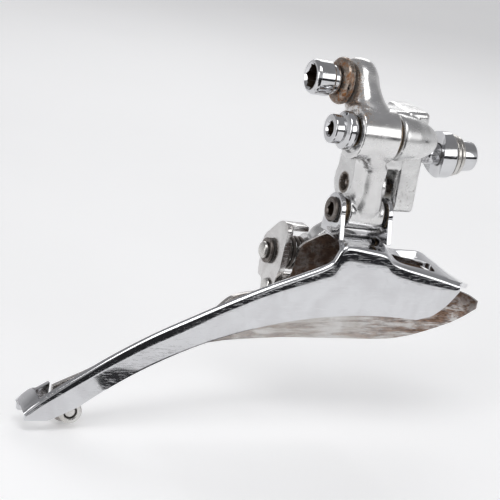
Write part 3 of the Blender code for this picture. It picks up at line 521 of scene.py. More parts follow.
# ------------------------------------------------------------------ turned pieces
def make_fixing_bolt():
    face = 15.1
    pitch = 0.8
    profile = [(face, 0), (face, 3.0), (14.7, 3.35), (11.4, 3.75), (11.4, BOLT)]
    x = 3.0
    while x > -6.5:
        profile += [(x, BOLT), (x - pitch / 2, BOLT - pitch / 2)]
        x -= pitch
    profile += [(-6.9, BOLT), (-7.6, BOLT - 0.6), (-7.6, 0)]
    bolt = turned("fixing_bolt_fine", profile, fillet=0.15)
    return socket(bolt, BOLT_KEY, face, 2.6, facing=1)


def make_radius_washer():
    outer = 5.4
    span = (4.6, 8.6)
    washer = ring("radius_washer_fine", BOLT + GAP, outer, span, place=MOUNT, fillet=0.45,
                  steps=128)
    seat_radius = 10.4
    middle = span[0] - math.sqrt(seat_radius ** 2 - outer ** 2)
    upright = Matrix.Translation((middle * MM, 0, 0)) @ Matrix.Rotation(math.pi / 2, 4, "Y")
    seat = cylinder("seat", seat_radius, (-8.0, 8.0), place=upright, steps=256)
    return cut(washer, seat)


def make_limit_screw(name, place, direction, tip, seat):
    pitch = 0.5
    top = seat + 1.5
    profile = [(top, 0), (top, 1.6), (top - 0.4, SCREW_HEAD), (seat, SCREW_HEAD), (seat, SCREW)]
    x = seat - 0.4
    while x > tip + 0.9:
        profile += [(x, SCREW), (x - pitch / 2, SCREW - pitch / 2)]
        x -= pitch
    profile += [(tip + 0.5, SCREW - 0.1), (tip, SCREW - 0.5), (tip, 0)]
    set_in = turned_to(direction, place)
    screw = turned(name, profile, place=set_in, fillet=0.25, steps=64)
    low, high = top - 0.7, top + 1.0
    for wide, deep in ((3.0, SLOT / 2), (SLOT / 2, 1.2)):     # a cross for the screwdriver
        cut(screw, block("slot", (low, -wide, -deep), (high, wide, deep), set_in))
    return screw


def socket_bolt(name, profile, centre, key, depth, fillet):
    """A turned bolt of the linkage, with a hexagon socket in its face at the profile's last x."""
    bolt = turned(name, profile, centre, LINKAGE, fillet=fillet)
    return socket(bolt, key, profile[-1][0], depth, centre, LINKAGE)


def make_outer_upper_bolt():
    profile = [(-4.0, 0), (-4.0, 1.5), (-4.6, OUTER_PIN), (-22.05, OUTER_PIN), (-22.05, 3.0),
               (-22.9, 3.0), (-22.9, 4.2), (-23.3, 4.3), (-24.7, 4.3), (-25.2, 3.6),
               (-25.5, 2.9), (-25.8, 3.25), (-27.6, 3.25), (-27.9, 3.0), (-27.9, 0)]
    return socket_bolt("outer_upper_pivot_bolt_fine", profile, OUTER_UPPER, PIVOT_KEY, 2.3, 0.3)


def make_inner_upper_pin():
    radius = INNER_PIN + 0.1
    profile = [(-2.9, 0), (-2.9, 1.2), (-3.2, radius), (-14.2, radius), (-14.5, 1.2), (-14.5, 0)]
    return socket_bolt("inner_upper_pivot_pin_fine", profile, INNER_UPPER, 1.5, 1.2, 0.22)


def make_cable_bolt():
    profile = [(-14.6, 0), (-14.6, 1.8), (-15.1, BOLT), (-24.9, BOLT), (-24.9, 3.3), (-26.3, 3.3),
               (-26.5, 3.8), (-26.8, 4.0), (-30.2, 4.0), (-31.0, 3.45), (-31.0, 0)]
    return socket_bolt("cable_anchor_bolt_fine", profile, CABLE_ANCHOR, BOLT_KEY, 3.4, 0.3)


def make_outer_lower_bolt():
    profile = [(-5.7, 0), (-5.7, 1.8), (-6.0, 2.4), (-6.45, 2.4), (-6.45, OUTER_PIN),
               (-20.1, OUTER_PIN), (-20.1, 2.8), (-20.6, 2.9), (-20.9, 2.6), (-20.9, 0)]
    return socket_bolt("outer_lower_pivot_bolt_fine", profile, OUTER_LOWER, PIVOT_KEY, 2.3, 0.2)


def make_bush(name, pin, wall, span, place):
    return ring(name, pin + GAP, pin + GAP + wall, span, place, fillet=0.15)


def make_cable_washer():
    bore = BOLT + GAP
    profile = [(-22.2, bore), (-22.2, 4.6), (-22.6, 5.2), (-23.4, 5.35), (-24.1, 5.1),
               (-24.6, 4.3), (-24.6, bore)]
    return turned("cable_washer_fine", profile, CABLE_ANCHOR, LINKAGE, hollow=True, fillet=0.5)


def make_inner_lower_pin():
    pin = INNER_PIN
    profile = [(-11.4, 0), (-11.5, 1.6), (-12.2, 2.1), (-12.2, pin), (-28.9, pin), (-28.9, 2.0),
               (-29.6, 1.8), (-30.0, 1.1), (-30.1, 0)]
    return turned("inner_lower_pivot_pin_fine", profile, INNER_LOWER, LINKAGE, fillet=0.5)


def make_bracket_rivet():
    profile = [(-23.6, 0), (-23.6, 1.5), (-24.4, 1.9), (-24.4, RIVET), (-27.9, RIVET),
               (-27.9, 1.9), (-28.5, 1.6), (-28.7, 0)]
    return turned("bracket_rivet_fine", profile, RIVET_PLACE, LINKAGE, fillet=0.5)


def make_flange_rivet(side):
    profile = [(0.35, 0), (0.35, 1.2), (-0.1, 1.6), (-0.1, FLANGE_RIVET), (-1.9, FLANGE_RIVET),
               (-1.9, 1.6), (-2.3, 1.2), (-2.3, 0)]
    return turned(side + "_flange_rivet_fine", profile, place=on_y(FLANGE_RIVETS[side]),
                  fillet=0.4)


def make_tail_screw():
    profile = [(-5.2, 0), (-5.2, 1.8), (-5.6, 2.2), (-6.7, 2.2), (-6.7, SCREW),
               (-11.5, SCREW), (-11.5, 0)]
    screw = turned("tail_screw_fine", profile, place=on_y(TAIL_SCREW), fillet=0.25)
    x, z = TAIL_SCREW
    return cut(screw, block("slot", (x - 3, -5.8, z - SLOT / 2), (x + 3, -4.0, z + SLOT / 2)))


# ------------------------------------------------------------------ chain cage
# x, lower edge (None: the chainring arc), upper edge, roof middle z, roof end z, forward lead
OUTER_STATIONS = [
    (-88.8, -60.9, -59.6, -59.0, -59.2, 0),
    (-87.2, -61.0, -58.1, -57.5, -57.7, 0),
    (-85.6, -61.0, -56.8, -56.2, -56.4, 0),
    (-83.9, -60.9, -55.6, -55.2, -55.4, 0),
    (-82.3, -60.3, -54.5, -54.3, -54.4, 0),
    (-77.0, None, -50.9, -50.7, -50.9, 0),
    (-70.0, None, -46.3, -46.1, -46.3, 0),
    (-62.0, None, -41.7, -41.5, -41.7, 0),
    (-52.0, None, -36.8, -36.6, -36.8, 0),
    (-44.0, None, -33.0, -32.8, -33.0, 0),
    (-36.0, None, -29.5, -29.3, -29.5, 0),
    (-29.0, None, -26.8, -26.6, -26.8, 0),
    (-24.0, None, -24.8, -24.6, -24.8, 0),
    (-21.4, None, -23.2, -22.6, -22.8, 0),
    (-20.3, None, -20.8, -18.7, -18.7, 0),
    (-19.0, None, -19.7, -18.7, -18.7, 0),
    (-14.0, None, -20.3, -18.9, -18.9, 0),
    (-9.2, None, -21.2, -19.3, -19.3, 0),
    (-7.6, None, -22.6, -21.4, -21.5, 0.4),
    (-4.0, None, -23.9, -23.3, -22.9, 1.2),
    (1.0, None, -25.1, -24.0, -23.1, 2.6),
    (4.4, -35.0, -25.9, -25.3, -25.4, 4.0),
    (8.0, -32.4, -26.8, -27.3, -28.6, 6.0),
    (10.9, -28.8, -27.6, -29.0, -30.9, 8.4),
]
# x, y, lower edge, upper edge
INNER_STATIONS = [
    (-81.7, -7.6, -59.4, -55.0),
    (-78.0, -7.6, -58.6, -53.2),
    (-74.5, -7.5, -57.0, -51.6),
    (-70.0, -7.2, -54.2, -49.2),
    (-62.0, -6.2, -50.0, -45.2),
    (-54.0, -4.9, -47.2, -42.0),
    (-47.0, -3.5, -46.0, -40.2),
    (-44.4, -3.0, -45.8, -38.2),
    (-40.5, -2.3, -45.5, -35.2),
    (-36.0, -1.8, -45.3, -34.2),
    (-31.0, -1.4, -45.1, -33.8),
    (-28.2, -1.2, -45.0, -31.4),
    (-26.0, -1.1, -44.9, -29.6),
    (-25.2, -1.1, -44.9, -23.6),
    (-22.0, -1.0, -44.9, -21.4),
    (-18.5, -1.0, -44.9, -20.0),
    (-9.0, -1.0, -44.9, -21.4),
    (-4.0, -1.0, -44.9, -24.2),
    (1.0, -1.0, -44.7, -24.6),
    (6.0, -1.1, -43.9, -26.4),
    (12.0, -1.4, -42.0, -30.0),
    (17.0, -2.1, -39.8, -31.9),
    (20.0, -3.2, -37.6, -32.8),
    (21.7, -4.6, -35.6, -33.8),
]
# x, depth of the rolled band under the upper edge of the outer plate
ROLL_STATIONS = [(-88.8, 0.8), (-70.0, 0.9), (-40.0, 1.4), (-26.0, 2.6), (-19.0, 4.6),
                 (-8.0, 3.6), (2.0, 3.0), (10.9, 1.0)]
# x, share of the curl along the upper edge of the inner plate
CURL_STATIONS = [(-81.7, 0.0), (-30.0, 0.0), (-24.0, 0.5), (-18.0, 0.6), (-10.0, 0.0), (21.7, 0.0)]
WALL_STEPS = 10
ROLL_STEPS = 8
SHOULDER_STEPS = 8
ROOF_STEPS = 8
FOLD_STEPS = 4


def lower_edge(x):
    centre_x, centre_z = CHAINRING_CENTRE
    return centre_z + math.sqrt(LOWER_EDGE_RADIUS ** 2 - (x - centre_x) ** 2)


def outer_low(x):
    """Lower edge: the chainring's arc, but the tail and the nose have their own outlines."""
    if x < TAIL_END_X or x > NOSE_END_X:
        return track(OUTER_STATIONS, 1, x)
    if x < TAIL_START_X:
        own, shared = TAIL_END_X, TAIL_START_X
    elif x > NOSE_START_X:
        own, shared = NOSE_END_X, NOSE_START_X
    else:
        return lower_edge(x)
    share = (x - own) / (shared - own)
    return track(OUTER_STATIONS, 1, own) * (1 - share) + lower_edge(shared) * share


def outer_row(x):
    """Cross-section of the outer plate: wall, rolled band, shoulder, roof and end fold."""
    bottom = outer_low(x)
    top, roof_middle, roof_end, lead = (track(OUTER_STATIONS, column, x) for column in (2, 3, 4, 5))
    height = top - bottom
    shoulder = min(0.75, height * 0.3)      # the shoulder's height and width
    shoulder_width = 0.6
    roll = min(track(ROLL_STATIONS, 1, x), height * 0.4)
    tail = x < -80
    end_y = TAIL_Y + SHEET / 2 if tail else ROOF_END_Y
    roll_depth = 0.11 * roll
    row = []
    wall_top = top - shoulder - roll
    for step in range(WALL_STEPS):
        row.append((x, CAGE_Y, bottom + (wall_top - bottom) * step / WALL_STEPS))
    for step in range(ROLL_STEPS):
        share = step / ROLL_STEPS
        row.append((x, CAGE_Y + roll_depth * share ** 2, wall_top + roll * share))
    shoulder_y = CAGE_Y + roll_depth
    for step in range(SHOULDER_STEPS):
        angle = math.pi / 2 * step / SHOULDER_STEPS
        row.append((x, shoulder_y + shoulder_width * (1 - math.cos(angle)),
                    top - shoulder + shoulder * math.sin(angle)))
    start = Vector((x + 0.1 * lead, shoulder_y + shoulder_width, top))
    middle = Vector((x + 0.5 * lead, (CAGE_Y + end_y) / 2, roof_middle))
    end = Vector((x + lead, end_y, roof_end))
    for step in range(ROOF_STEPS + 1):
        t = step / ROOF_STEPS
        control = middle * 2 - (start + end) / 2
        row.append(tuple(start * (1 - t) ** 2 + control * 2 * t * (1 - t) + end * t ** 2))
    fold_low = bottom + 0.2 if tail else roof_end - 1.0
    for step in range(1, FOLD_STEPS + 1):
        row.append((x + lead, end_y, roof_end + (fold_low - roof_end) * step / FOLD_STEPS))
    return row


def make_outer_plate():
    xs = fine_steps(OUTER_STATIONS)
    rows = [outer_row(x) for x in xs]
    roof_first = WALL_STEPS + ROLL_STEPS + SHOULDER_STEPS
    roof_last = roof_first + ROOF_STEPS

    def wanted(i, j):
        x = (xs[i] + xs[i + 1]) / 2
        if j < roof_first:
            return True
        if j < roof_last:
            return x < TAIL_ROOF_X or x > ROOF_REAR_X
        return x < TAIL_END_X

    outer = sheet("outer_cage_plate_pressing", rows, wanted)
    y, z = OUTER_LOWER
    outline = [(y + 4.3, -19.6)] + arc(y, z, 3.9, 0, 180, 36) + [(y - 5.8, -19.6)]
    hole = (y, z, OUTER_PIN + GAP)
    rear = plate("rear_ear", outline, (-19.9, -18.75), LINKAGE, [hole], 0.25, 0.2)
    front = plate("front_ear", outline, (-7.85, -6.7), LINKAGE, [hole], 0.25, 0.2)
    join(outer, rear, front)
    window = plate("window", [(-6.2, -11.5), (-6.2, -7.2), (5.2, -7.6), (5.2, -11.0)],
                   (-40.0, -15.0), edge=0.0, corner=1.2)
    stand = Matrix(((0, 1, 0, 0), (0, 0, 1, 0), (1, 0, 0, 0), (0, 0, 0, 1)))
    window.data.transform(stand)
    return cut(outer, window)


def make_inner_plate():
    xs = fine_steps(INNER_STATIONS)
    rows = []
    heights = 14
    curl_from = 0.75                # share of the height
    for x in xs:
        y, low, top = (track(INNER_STATIONS, column, x) for column in (1, 2, 3))
        row = []
        for step in range(heights + 1):
            share = step / heights
            bend = max(0.0, share - curl_from) / (1 - curl_from)
            curl = 0.9 * bend ** 2 * track(CURL_STATIONS, 1, x)
            row.append((x, y + curl, low + (top - low) * share))
        rows.append(row)
    inner = sheet("inner_cage_plate_pressing", rows)
    outline = [(-1.3, -38.6), (6.2, -38.6), (6.2, -34.4), (4.8, -32.9), (-1.3, -32.9)]
    y, z = RIVET_PLACE
    ear = plate("ear", outline, (-25.85, -24.7), LINKAGE, [(y, z, RIVET + GAP)])
    lobe = turned("lobe", [(-8.2, 0), (-8.2, 3.6), (-7.0, 3.6), (-7.0, 0)], place=on_y(TAIL_SCREW),
                  fillet=0.25)
    join(inner, ear, lobe)
    cut(inner, cylinder("screw_hole", SCREW + GAP, (-9.0, -6.0), place=on_y(TAIL_SCREW)))
    for place in FLANGE_RIVETS.values():
        cut(inner, cylinder("rivet_hole", FLANGE_RIVET + GAP, (-3.0, 1.0), place=on_y(place)))
    return inner


def make_bracket():
    y, z = INNER_LOWER
    hole = (y, z, INNER_PIN + GAP)
    rivet_hole = (RIVET_PLACE[0], RIVET_PLACE[1], RIVET + GAP)
    rear_outline = ([(0.2, -38.4), (6.4, -38.4), (7.2, -35.2), (9.6, -34.9)]
                    + arc(y, z, 4.7, -20, 60, 18)
                    + [(4.6, -20.9), (2.6, -19.9), (0.4, -19.9), (-0.9, -21.2),
                       (-0.9, -30.6), (0.2, -33.0)])
    front_outline = [(4.0, -35.0), (9.6, -35.0)] + arc(y, z, 4.7, -20, 200, 36) + [(1.5, -32.0)]
    bracket = plate("inner_link_bracket_pressing", rear_outline, (-27.6, -26.2), LINKAGE,
                    [hole, rivet_hole], 0.3, 0.8)
    front = plate("front_leg", front_outline, (-13.9, -12.5), LINKAGE, [hole], 0.3, 0.8)
    floor = block("floor_strip", (-26.6, 6.9, -34.9), (-13.0, 9.5, -33.6), LINKAGE, 0.25)
    tab = block("tab", (-26.6, -0.9, -21.3), (-22.4, 2.8, -19.95), LINKAGE, 0.3)
    return join(bracket, front, floor, tab)


def make_return_spring():
    turns = 4.6
    per_turn = 48
    coil_radius = 3.5
    rear, front = -25.3, -20.1
    y, z = INNER_LOWER
    count = int(turns * per_turn)
    points = [(rear, y - coil_radius, z + 5.2), (rear, y - coil_radius, z + 2.6)]
    for step in range(count + 1):
        angle = math.pi + 2 * math.pi * step / per_turn
        x = rear + (front - rear) * step / count
        points.append((x, y + coil_radius * math.cos(angle), z - coil_radius * math.sin(angle)))
    last = points[-1]
    points.append((last[0], last[1] - 0.3, last[2] + 1.2))
    curve = bpy.data.curves.new("return_spring_fine", "CURVE")
    curve.dimensions = "3D"
    curve.bevel_depth = 0.45
    curve.bevel_resolution = 5
    curve.use_fill_caps = True
    return wrap("return_spring_fine", bmesh_of(curve, [points], False), LINKAGE)


# ------------------------------------------------------------------ materials
class Surface:
    """A material being made: short ways to add nodes and to link them."""

    def __init__(self, name):
        self.material = bpy.data.materials.new(name)
        self.material.use_nodes = True
        self.tree = self.material.node_tree
        self.shader = self.tree.nodes["Principled BSDF"]
        coordinates = self.tree.nodes.new("ShaderNodeTexCoord")
        self.place = coordinates.outputs["Object"]

    def feed(self, socket_in, value):
        if isinstance(value, bpy.types.NodeSocket):
            self.tree.links.new(value, socket_in)
        else:
            socket_in.default_value = value

    def math(self, operation, *values, clamp=False):
        node = self.tree.nodes.new("ShaderNodeMath")
        node.operation = operation
        node.use_clamp = clamp
        for socket_in, value in zip(node.inputs, values):
            self.feed(socket_in, value)
        return node.outputs[0]

    def times(self, product, *others, clamp=False):
        for other in others:
            product = self.math("MULTIPLY", product, other, clamp=clamp)
        return product

    def ramp(self, value, low, high, to_low=0.0, to_high=1.0):
        node = self.tree.nodes.new("ShaderNodeMapRange")
        node.interpolation_type = "SMOOTHSTEP"
        for name, number in (("Value", value), ("From Min", low), ("From Max", high),
                             ("To Min", to_low), ("To Max", to_high)):
            self.feed(node.inputs[name], number)
        return node.outputs["Result"]

    def noise(self, per_mm, stretch=(1, 1, 1), turn=(0, 0, 0), detail=4.0, roughness=0.55,
              distortion=0.0):
        """Noise with per_mm features in a millimetre, stretched along chosen axes."""
        mapping = self.tree.nodes.new("ShaderNodeMapping")
        self.feed(mapping.inputs["Vector"], self.place)
        mapping.inputs["Rotation"].default_value = [math.radians(angle) for angle in turn]
        mapping.inputs["Scale"].default_value = [per_mm / MM / share for share in stretch]
        node = self.tree.nodes.new("ShaderNodeTexNoise")
        self.feed(node.inputs["Vector"], mapping.outputs["Vector"])
        node.inputs["Scale"].default_value = 1.0
        node.inputs["Detail"].default_value = detail
        node.inputs["Roughness"].default_value = roughness
        node.inputs["Distortion"].default_value = distortion
        return node.outputs["Fac"]

    def mix(self, share, first, second):
        node = self.tree.nodes.new("ShaderNodeMix")
        node.data_type = "RGBA"
        self.feed(node.inputs[0], share)
        for socket_in, value in ((node.inputs[6], first), (node.inputs[7], second)):
            self.feed(socket_in, (*value, 1.0) if isinstance(value, tuple) else value)
        return node.outputs[2]

    def position(self):
        """x, y and z in millimetres in the mount frame."""
        split = self.tree.nodes.new("ShaderNodeSeparateXYZ")
        self.feed(split.inputs[0], self.place)
        return [self.times(axis, 1 / MM) for axis in split.outputs]

    def facing_out(self):
        """1 on a face that looks outboard, 0 on the others."""
        split = self.tree.nodes.new("ShaderNodeSeparateXYZ")
        geometry = self.tree.nodes.new("ShaderNodeNewGeometry")
        self.feed(split.inputs[0], geometry.outputs["Normal"])
        return self.ramp(split.outputs["Y"], -0.2, -0.7)

    def corner_shade(self, reach):
        """1 deep in a corner, 0 in the open, from ambient occlusion: a mask for painted shade in
        corners.
        """
        node = self.tree.nodes.new("ShaderNodeAmbientOcclusion")
        node.samples = 6
        node.inputs["Distance"].default_value = reach * MM
        return self.math("SUBTRACT", 1.0, node.outputs["AO"])

    def scratches(self, amount):
        """Fine scratches in four directions: a mask of thin bright lines."""
        total = 0.0
        for index, turn in enumerate(((0, 12, 0), (0, -38, 20), (30, 70, 0), (15, 5, 60))):
            lines = self.noise(2.6 + 0.7 * index, (14, 14, 0.35), turn, 2.0, 0.5, 0.1)
            mask = self.ramp(lines, 0.66 - 0.02 * amount, 0.74)
            total = self.math("MAXIMUM", total, mask)
        return total

    def bump(self, height, strength, reach, before=None):
        node = self.tree.nodes.new("ShaderNodeBump")
        node.inputs["Strength"].default_value = strength
        node.inputs["Distance"].default_value = reach * MM
        self.feed(node.inputs["Height"], height)
        if before is not None:
            self.feed(node.inputs["Normal"], before)
        return node.outputs["Normal"]

    def finish(self, colour, roughness, normal, metallic):
        self.feed(self.shader.inputs["Base Color"], colour)
        self.feed(self.shader.inputs["Roughness"], roughness)
        self.feed(self.shader.inputs["Normal"], normal)
        self.feed(self.shader.inputs["Metallic"], metallic)
        return self.material


def worn_metal(name, colour, tarnish, roughness, scratch, ripple, dirt_and_shade_amount, rust=0.0, pits=0.0,
               stain=None):
    """Metal with tarnish in patches, scratches, soft ripples, dirt and painted shade darkening its
    corners, and rust spots.
    """
    s = Surface(name)
    patches = s.ramp(s.noise(0.16, detail=5.0, distortion=0.6), 0.36, 0.68)
    base = s.mix(patches, colour, tarnish)
    lines = s.scratches(scratch)
    specks = s.noise(3.2, detail=6.0, roughness=0.7)
    bright = s.mix(s.times(lines, 0.35 * scratch), base, (0.92, 0.92, 0.93))
    # Corners darken to near black by ambient occlusion, broken up by noise: dirt and painted shade.
    dirt_and_shade_noise = s.ramp(s.noise(0.9, detail=6.0, roughness=0.65), 0.3, 0.7, 0.35, 1.3)
    dirt_and_shade = s.times(s.ramp(s.corner_shade(1.2), 0.25, 0.85), dirt_and_shade_noise, dirt_and_shade_amount, clamp=True)
    spots = s.times(s.ramp(specks, 0.70 - 0.12 * pits, 0.76 - 0.10 * pits), pits, clamp=True)
    spotted = s.mix(spots, bright, (0.10, 0.07, 0.05))
    with_dirt_and_shade = s.mix(dirt_and_shade, spotted, (0.05, 0.035, 0.022))
    rust_mask = s.ramp(s.noise(0.7, detail=8.0, roughness=0.72, distortion=0.8),
                       0.72 - 0.3 * rust, 0.80 - 0.26 * rust)
    rust_mask = s.times(rust_mask, min(1.0, 3 * rust), clamp=True)
    rust_tone = s.mix(s.ramp(specks, 0.35, 0.65), (0.10, 0.035, 0.012), (0.34, 0.15, 0.05))
    final = s.mix(rust_mask, with_dirt_and_shade, rust_tone)
    covered = s.math("MAXIMUM", s.math("MAXIMUM", dirt_and_shade, rust_mask), spots)
    if stain:
        amount, tone = stain(s)
        final = s.mix(amount, final, tone)
        covered = s.math("MAXIMUM", covered, s.times(amount, 0.5))

    rough = s.ramp(s.noise(0.35, detail=6.0), 0.3, 0.7, roughness * 0.75, roughness * 1.35)
    rough = s.math("ADD", rough, s.times(lines, 0.16 * scratch))
    rough = s.math("ADD", rough, s.times(covered, 0.5), clamp=True)

    waves = s.noise(0.10, detail=1.5)
    normal = s.bump(waves, ripple, 1.0)
    fine = s.math("SUBTRACT", s.times(specks, 0.15 + 0.8 * rust), lines)
    normal = s.bump(fine, 0.12 * scratch + 0.25 * rust, 0.05, normal)
    metallic = s.math("SUBTRACT", 1.0, s.times(covered, 0.85))
    return s.finish(final, rough, normal, metallic)


def chain_wear(s):
    """Brown chain dirt in streaks along the inner plate, thick at its nose and under the roof,
    where painted shade also darkens it to near black.
    """
    x, _, z = s.position()
    streaks = s.ramp(s.noise(0.8, (9, 1, 1), (0, 14, 0), 6.0, 0.68, 0.3), 0.40, 0.60, 0.1, 0.9)
    nose = s.ramp(x, -14.0, 12.0, 0.45, 1.1)
    dirt_and_shade_under_roof = s.times(s.ramp(z, -38.0, -33.0), s.ramp(x, -46.0, -36.0))
    clots = s.ramp(s.noise(0.5, detail=7.0, roughness=0.7), 0.3, 0.55, 0.6, 1.0)
    thickest = s.math("MAXIMUM", s.times(streaks, nose), s.times(dirt_and_shade_under_roof, clots))
    amount = s.times(thickest, s.ramp(s.facing_out(), 0.0, 1.0, 0.3, 1.0), clamp=True)
    tone = s.mix(s.ramp(s.noise(2.2, (3, 1, 1), detail=7.0, roughness=0.7), 0.35, 0.65),
                 (0.075, 0.040, 0.026), (0.30, 0.19, 0.13))
    # Under the outer plate's roof the tone also darkens toward near black: painted shade.
    return amount, s.mix(s.times(dirt_and_shade_under_roof, 0.65), tone, (0.045, 0.026, 0.018))


def casting_marks(s):
    """Black casting specks on the saddle block's ends, and rust round the inner pivot's hole."""
    x, y, z = s.position()
    specks = s.ramp(s.noise(1.3, detail=8.0, roughness=0.75, distortion=0.5), 0.57, 0.63)
    ends = s.math("MAXIMUM", s.ramp(z, 6.5, 10.0), s.ramp(z, -3.0, -7.0))
    patch = s.ramp(s.noise(0.22, detail=2.0), 0.42, 0.56)
    amount = s.times(specks, patch, s.ramp(x, -5.5, -2.5), ends)
    aside, above = (s.math("POWER", s.math("SUBTRACT", axis, middle), 2.0)
                    for axis, middle in ((y, 1.4), (z, -8.3)))
    reach = s.math("SQRT", s.math("ADD", aside, above))
    rusty = s.ramp(s.noise(1.8, detail=6.0), 0.3, 0.5, 0.4, 0.9)
    halo = s.times(s.ramp(reach, 2.75, 2.25), s.ramp(x, -13.5, -14.5), rusty)
    return s.math("MAXIMUM", amount, halo, clamp=True), (0.10, 0.070, 0.045)


def bolt_dust(s):
    """Brown dust on the arm beside the rusty cable washer."""
    x, _, z = s.position()
    dust = s.ramp(s.noise(1.6, detail=8.0, roughness=0.75), 0.50, 0.60)
    amount = s.times(dust, s.ramp(z, 8.5, 11.0), s.ramp(x, -18.6, -20.6), clamp=True)
    return amount, (0.30, 0.19, 0.11)


SILVER = (0.68, 0.685, 0.70)
METALS = {
    "plate_chrome": dict(colour=SILVER, tarnish=(0.62, 0.62, 0.635), roughness=0.06, scratch=0.8,
                         ripple=0.10, dirt_and_shade_amount=0.5, rust=0.02),
    "inner_chrome": dict(colour=(0.62, 0.61, 0.60), tarnish=(0.50, 0.48, 0.46), roughness=0.13,
                         scratch=1.2, ripple=0.25, dirt_and_shade_amount=0.8, rust=0.10, pits=0.2,
                         stain=chain_wear),
    "bolt_chrome": dict(colour=SILVER, tarnish=(0.60, 0.60, 0.61), roughness=0.07, scratch=0.6,
                        ripple=0.06, dirt_and_shade_amount=1.0),
    "polished_alloy": dict(colour=(0.78, 0.775, 0.77), tarnish=(0.70, 0.695, 0.69),
                           roughness=0.22, scratch=0.3, ripple=0.05, dirt_and_shade_amount=0.7, stain=bolt_dust),
    "cast_alloy": dict(colour=(0.77, 0.77, 0.765), tarnish=(0.68, 0.675, 0.67), roughness=0.26,
                       scratch=0.4, ripple=0.12, dirt_and_shade_amount=0.9, stain=casting_marks),
    "zinc_steel": dict(colour=(0.66, 0.65, 0.63), tarnish=(0.52, 0.50, 0.47), roughness=0.24,
                       scratch=1.2, ripple=0.15, dirt_and_shade_amount=1.0, rust=0.08, pits=0.3),
    "bracket_steel": dict(colour=(0.70, 0.69, 0.68), tarnish=(0.58, 0.56, 0.55), roughness=0.20,
                          scratch=1.4, ripple=0.25, dirt_and_shade_amount=1.0, rust=0.05, pits=0.2),
    "dark_steel": dict(colour=(0.20, 0.18, 0.165), tarnish=(0.12, 0.10, 0.09), roughness=0.38,
                       scratch=1.0, ripple=0.2, dirt_and_shade_amount=1.0, rust=0.3, pits=0.4),
    "rusted_steel": dict(colour=(0.40, 0.34, 0.29), tarnish=(0.11, 0.07, 0.045), roughness=0.24,
                         scratch=0.9, ripple=0.4, dirt_and_shade_amount=1.0, rust=0.74, pits=0.9),
    # near-black painted shade inside the hexagon sockets, with rust specks
    "socket_shade": dict(colour=(0.10, 0.075, 0.055), tarnish=(0.045, 0.032, 0.025),
                         roughness=0.45, scratch=0.5, ripple=0.2, dirt_and_shade_amount=1.0, rust=0.25, pits=0.4),
    "bronze": dict(colour=(0.32, 0.23, 0.13), tarnish=(0.17, 0.12, 0.08), roughness=0.32,
                   scratch=0.8, ripple=0.1, dirt_and_shade_amount=1.0, pits=0.2),
}


# ------------------------------------------------------------------ assembly
BODY_OF = {node: body for body, nodes in frame["record"]["behaviour"]["bodies"].items()
           for node in nodes}


# CAD node, metal, maker of its fine piece and what it is called with
PIECES = [
    ("body", "cast_alloy", make_body),
    ("fixing_bolt", "bolt_chrome", make_fixing_bolt),
    ("radius_washer", "bolt_chrome", make_radius_washer),
    ("lock_washer", "zinc_steel", ring, "lock_washer_fine", BOLT + GAP, 4.9, (8.9, 9.9), (0, 0),
     MOUNT),
    ("flat_washer", "zinc_steel", ring, "flat_washer_fine", BOLT + GAP, 4.5, (10.2, 11.1), (0, 0),
     MOUNT),
    ("low_limit_screw", "zinc_steel", make_limit_screw, "low_limit_screw_fine", LOW_SCREW_PLACE,
     "Z", -6.7, 4.1),
    ("high_limit_screw", "zinc_steel", make_limit_screw, "high_limit_screw_fine",
     HIGH_SCREW_PLACE, "Y", 5.0, 8.9),
    ("outer_upper_pivot_bolt", "bolt_chrome", make_outer_upper_bolt),
    ("thrust_washer", "bronze", ring, "thrust_washer_fine", OUTER_PIN + GAP, 4.4,
     (-12.98, -12.02), OUTER_UPPER, LINKAGE, 0.12),
    ("inner_upper_pivot_pin", "dark_steel", make_inner_upper_pin),
    ("outer_link", "polished_alloy", make_outer_link),
    ("outer_upper_bush", "bronze", make_bush, "outer_upper_bush_fine", OUTER_PIN,
     UPPER_BUSH_WALL, UPPER_BUSH_SPAN, OUTER_UPPER),
    ("outer_lower_bush", "bronze", make_bush, "outer_lower_bush_fine", OUTER_PIN, BUSH_WALL,
     KNUCKLE_BUSH_SPAN, OUTER_LOWER),
    ("cable_anchor_bolt", "bolt_chrome", make_cable_bolt),
    ("cable_washer", "rusted_steel", make_cable_washer),
    ("inner_link", "cast_alloy", make_inner_link),
    ("inner_upper_bush", "bronze", make_bush, "inner_upper_bush_fine", INNER_PIN, BUSH_WALL,
     INNER_BARREL_SPAN, INNER_UPPER),
    ("inner_lower_bush", "bronze", make_bush, "inner_lower_bush_fine", INNER_PIN, BUSH_WALL,
     LOWER_BARREL_SPAN, INNER_LOWER),
    ("outer_cage_plate", "plate_chrome", make_outer_plate),
    ("inner_cage_plate", "inner_chrome", make_inner_plate),
    ("inner_link_bracket", "bracket_steel", make_bracket),
    ("outer_lower_pivot_bolt", "dark_steel", make_outer_lower_bolt),
    ("inner_lower_pivot_pin", "zinc_steel", make_inner_lower_pin),
    ("retaining_ring", "dark_steel", ring, "retaining_ring_fine", INNER_PIN + GAP, 2.9,
     (-28.6, -27.9), INNER_LOWER, LINKAGE, 0.2),
    ("return_spring", "dark_steel", make_return_spring),
    ("bracket_rivet", "zinc_steel", make_bracket_rivet),
    ("rear_flange_rivet", "zinc_steel", make_flange_rivet, "rear"),
    ("front_flange_rivet", "zinc_steel", make_flange_rivet, "front"),
    ("tail_screw", "zinc_steel", make_tail_screw),
    ("tail_spacer", "zinc_steel", ring, "tail_spacer_fine", SCREW + GAP, 2.6, (-11.9, -8.5),
     (0, 0), on_y(TAIL_SCREW), 0.3),
]


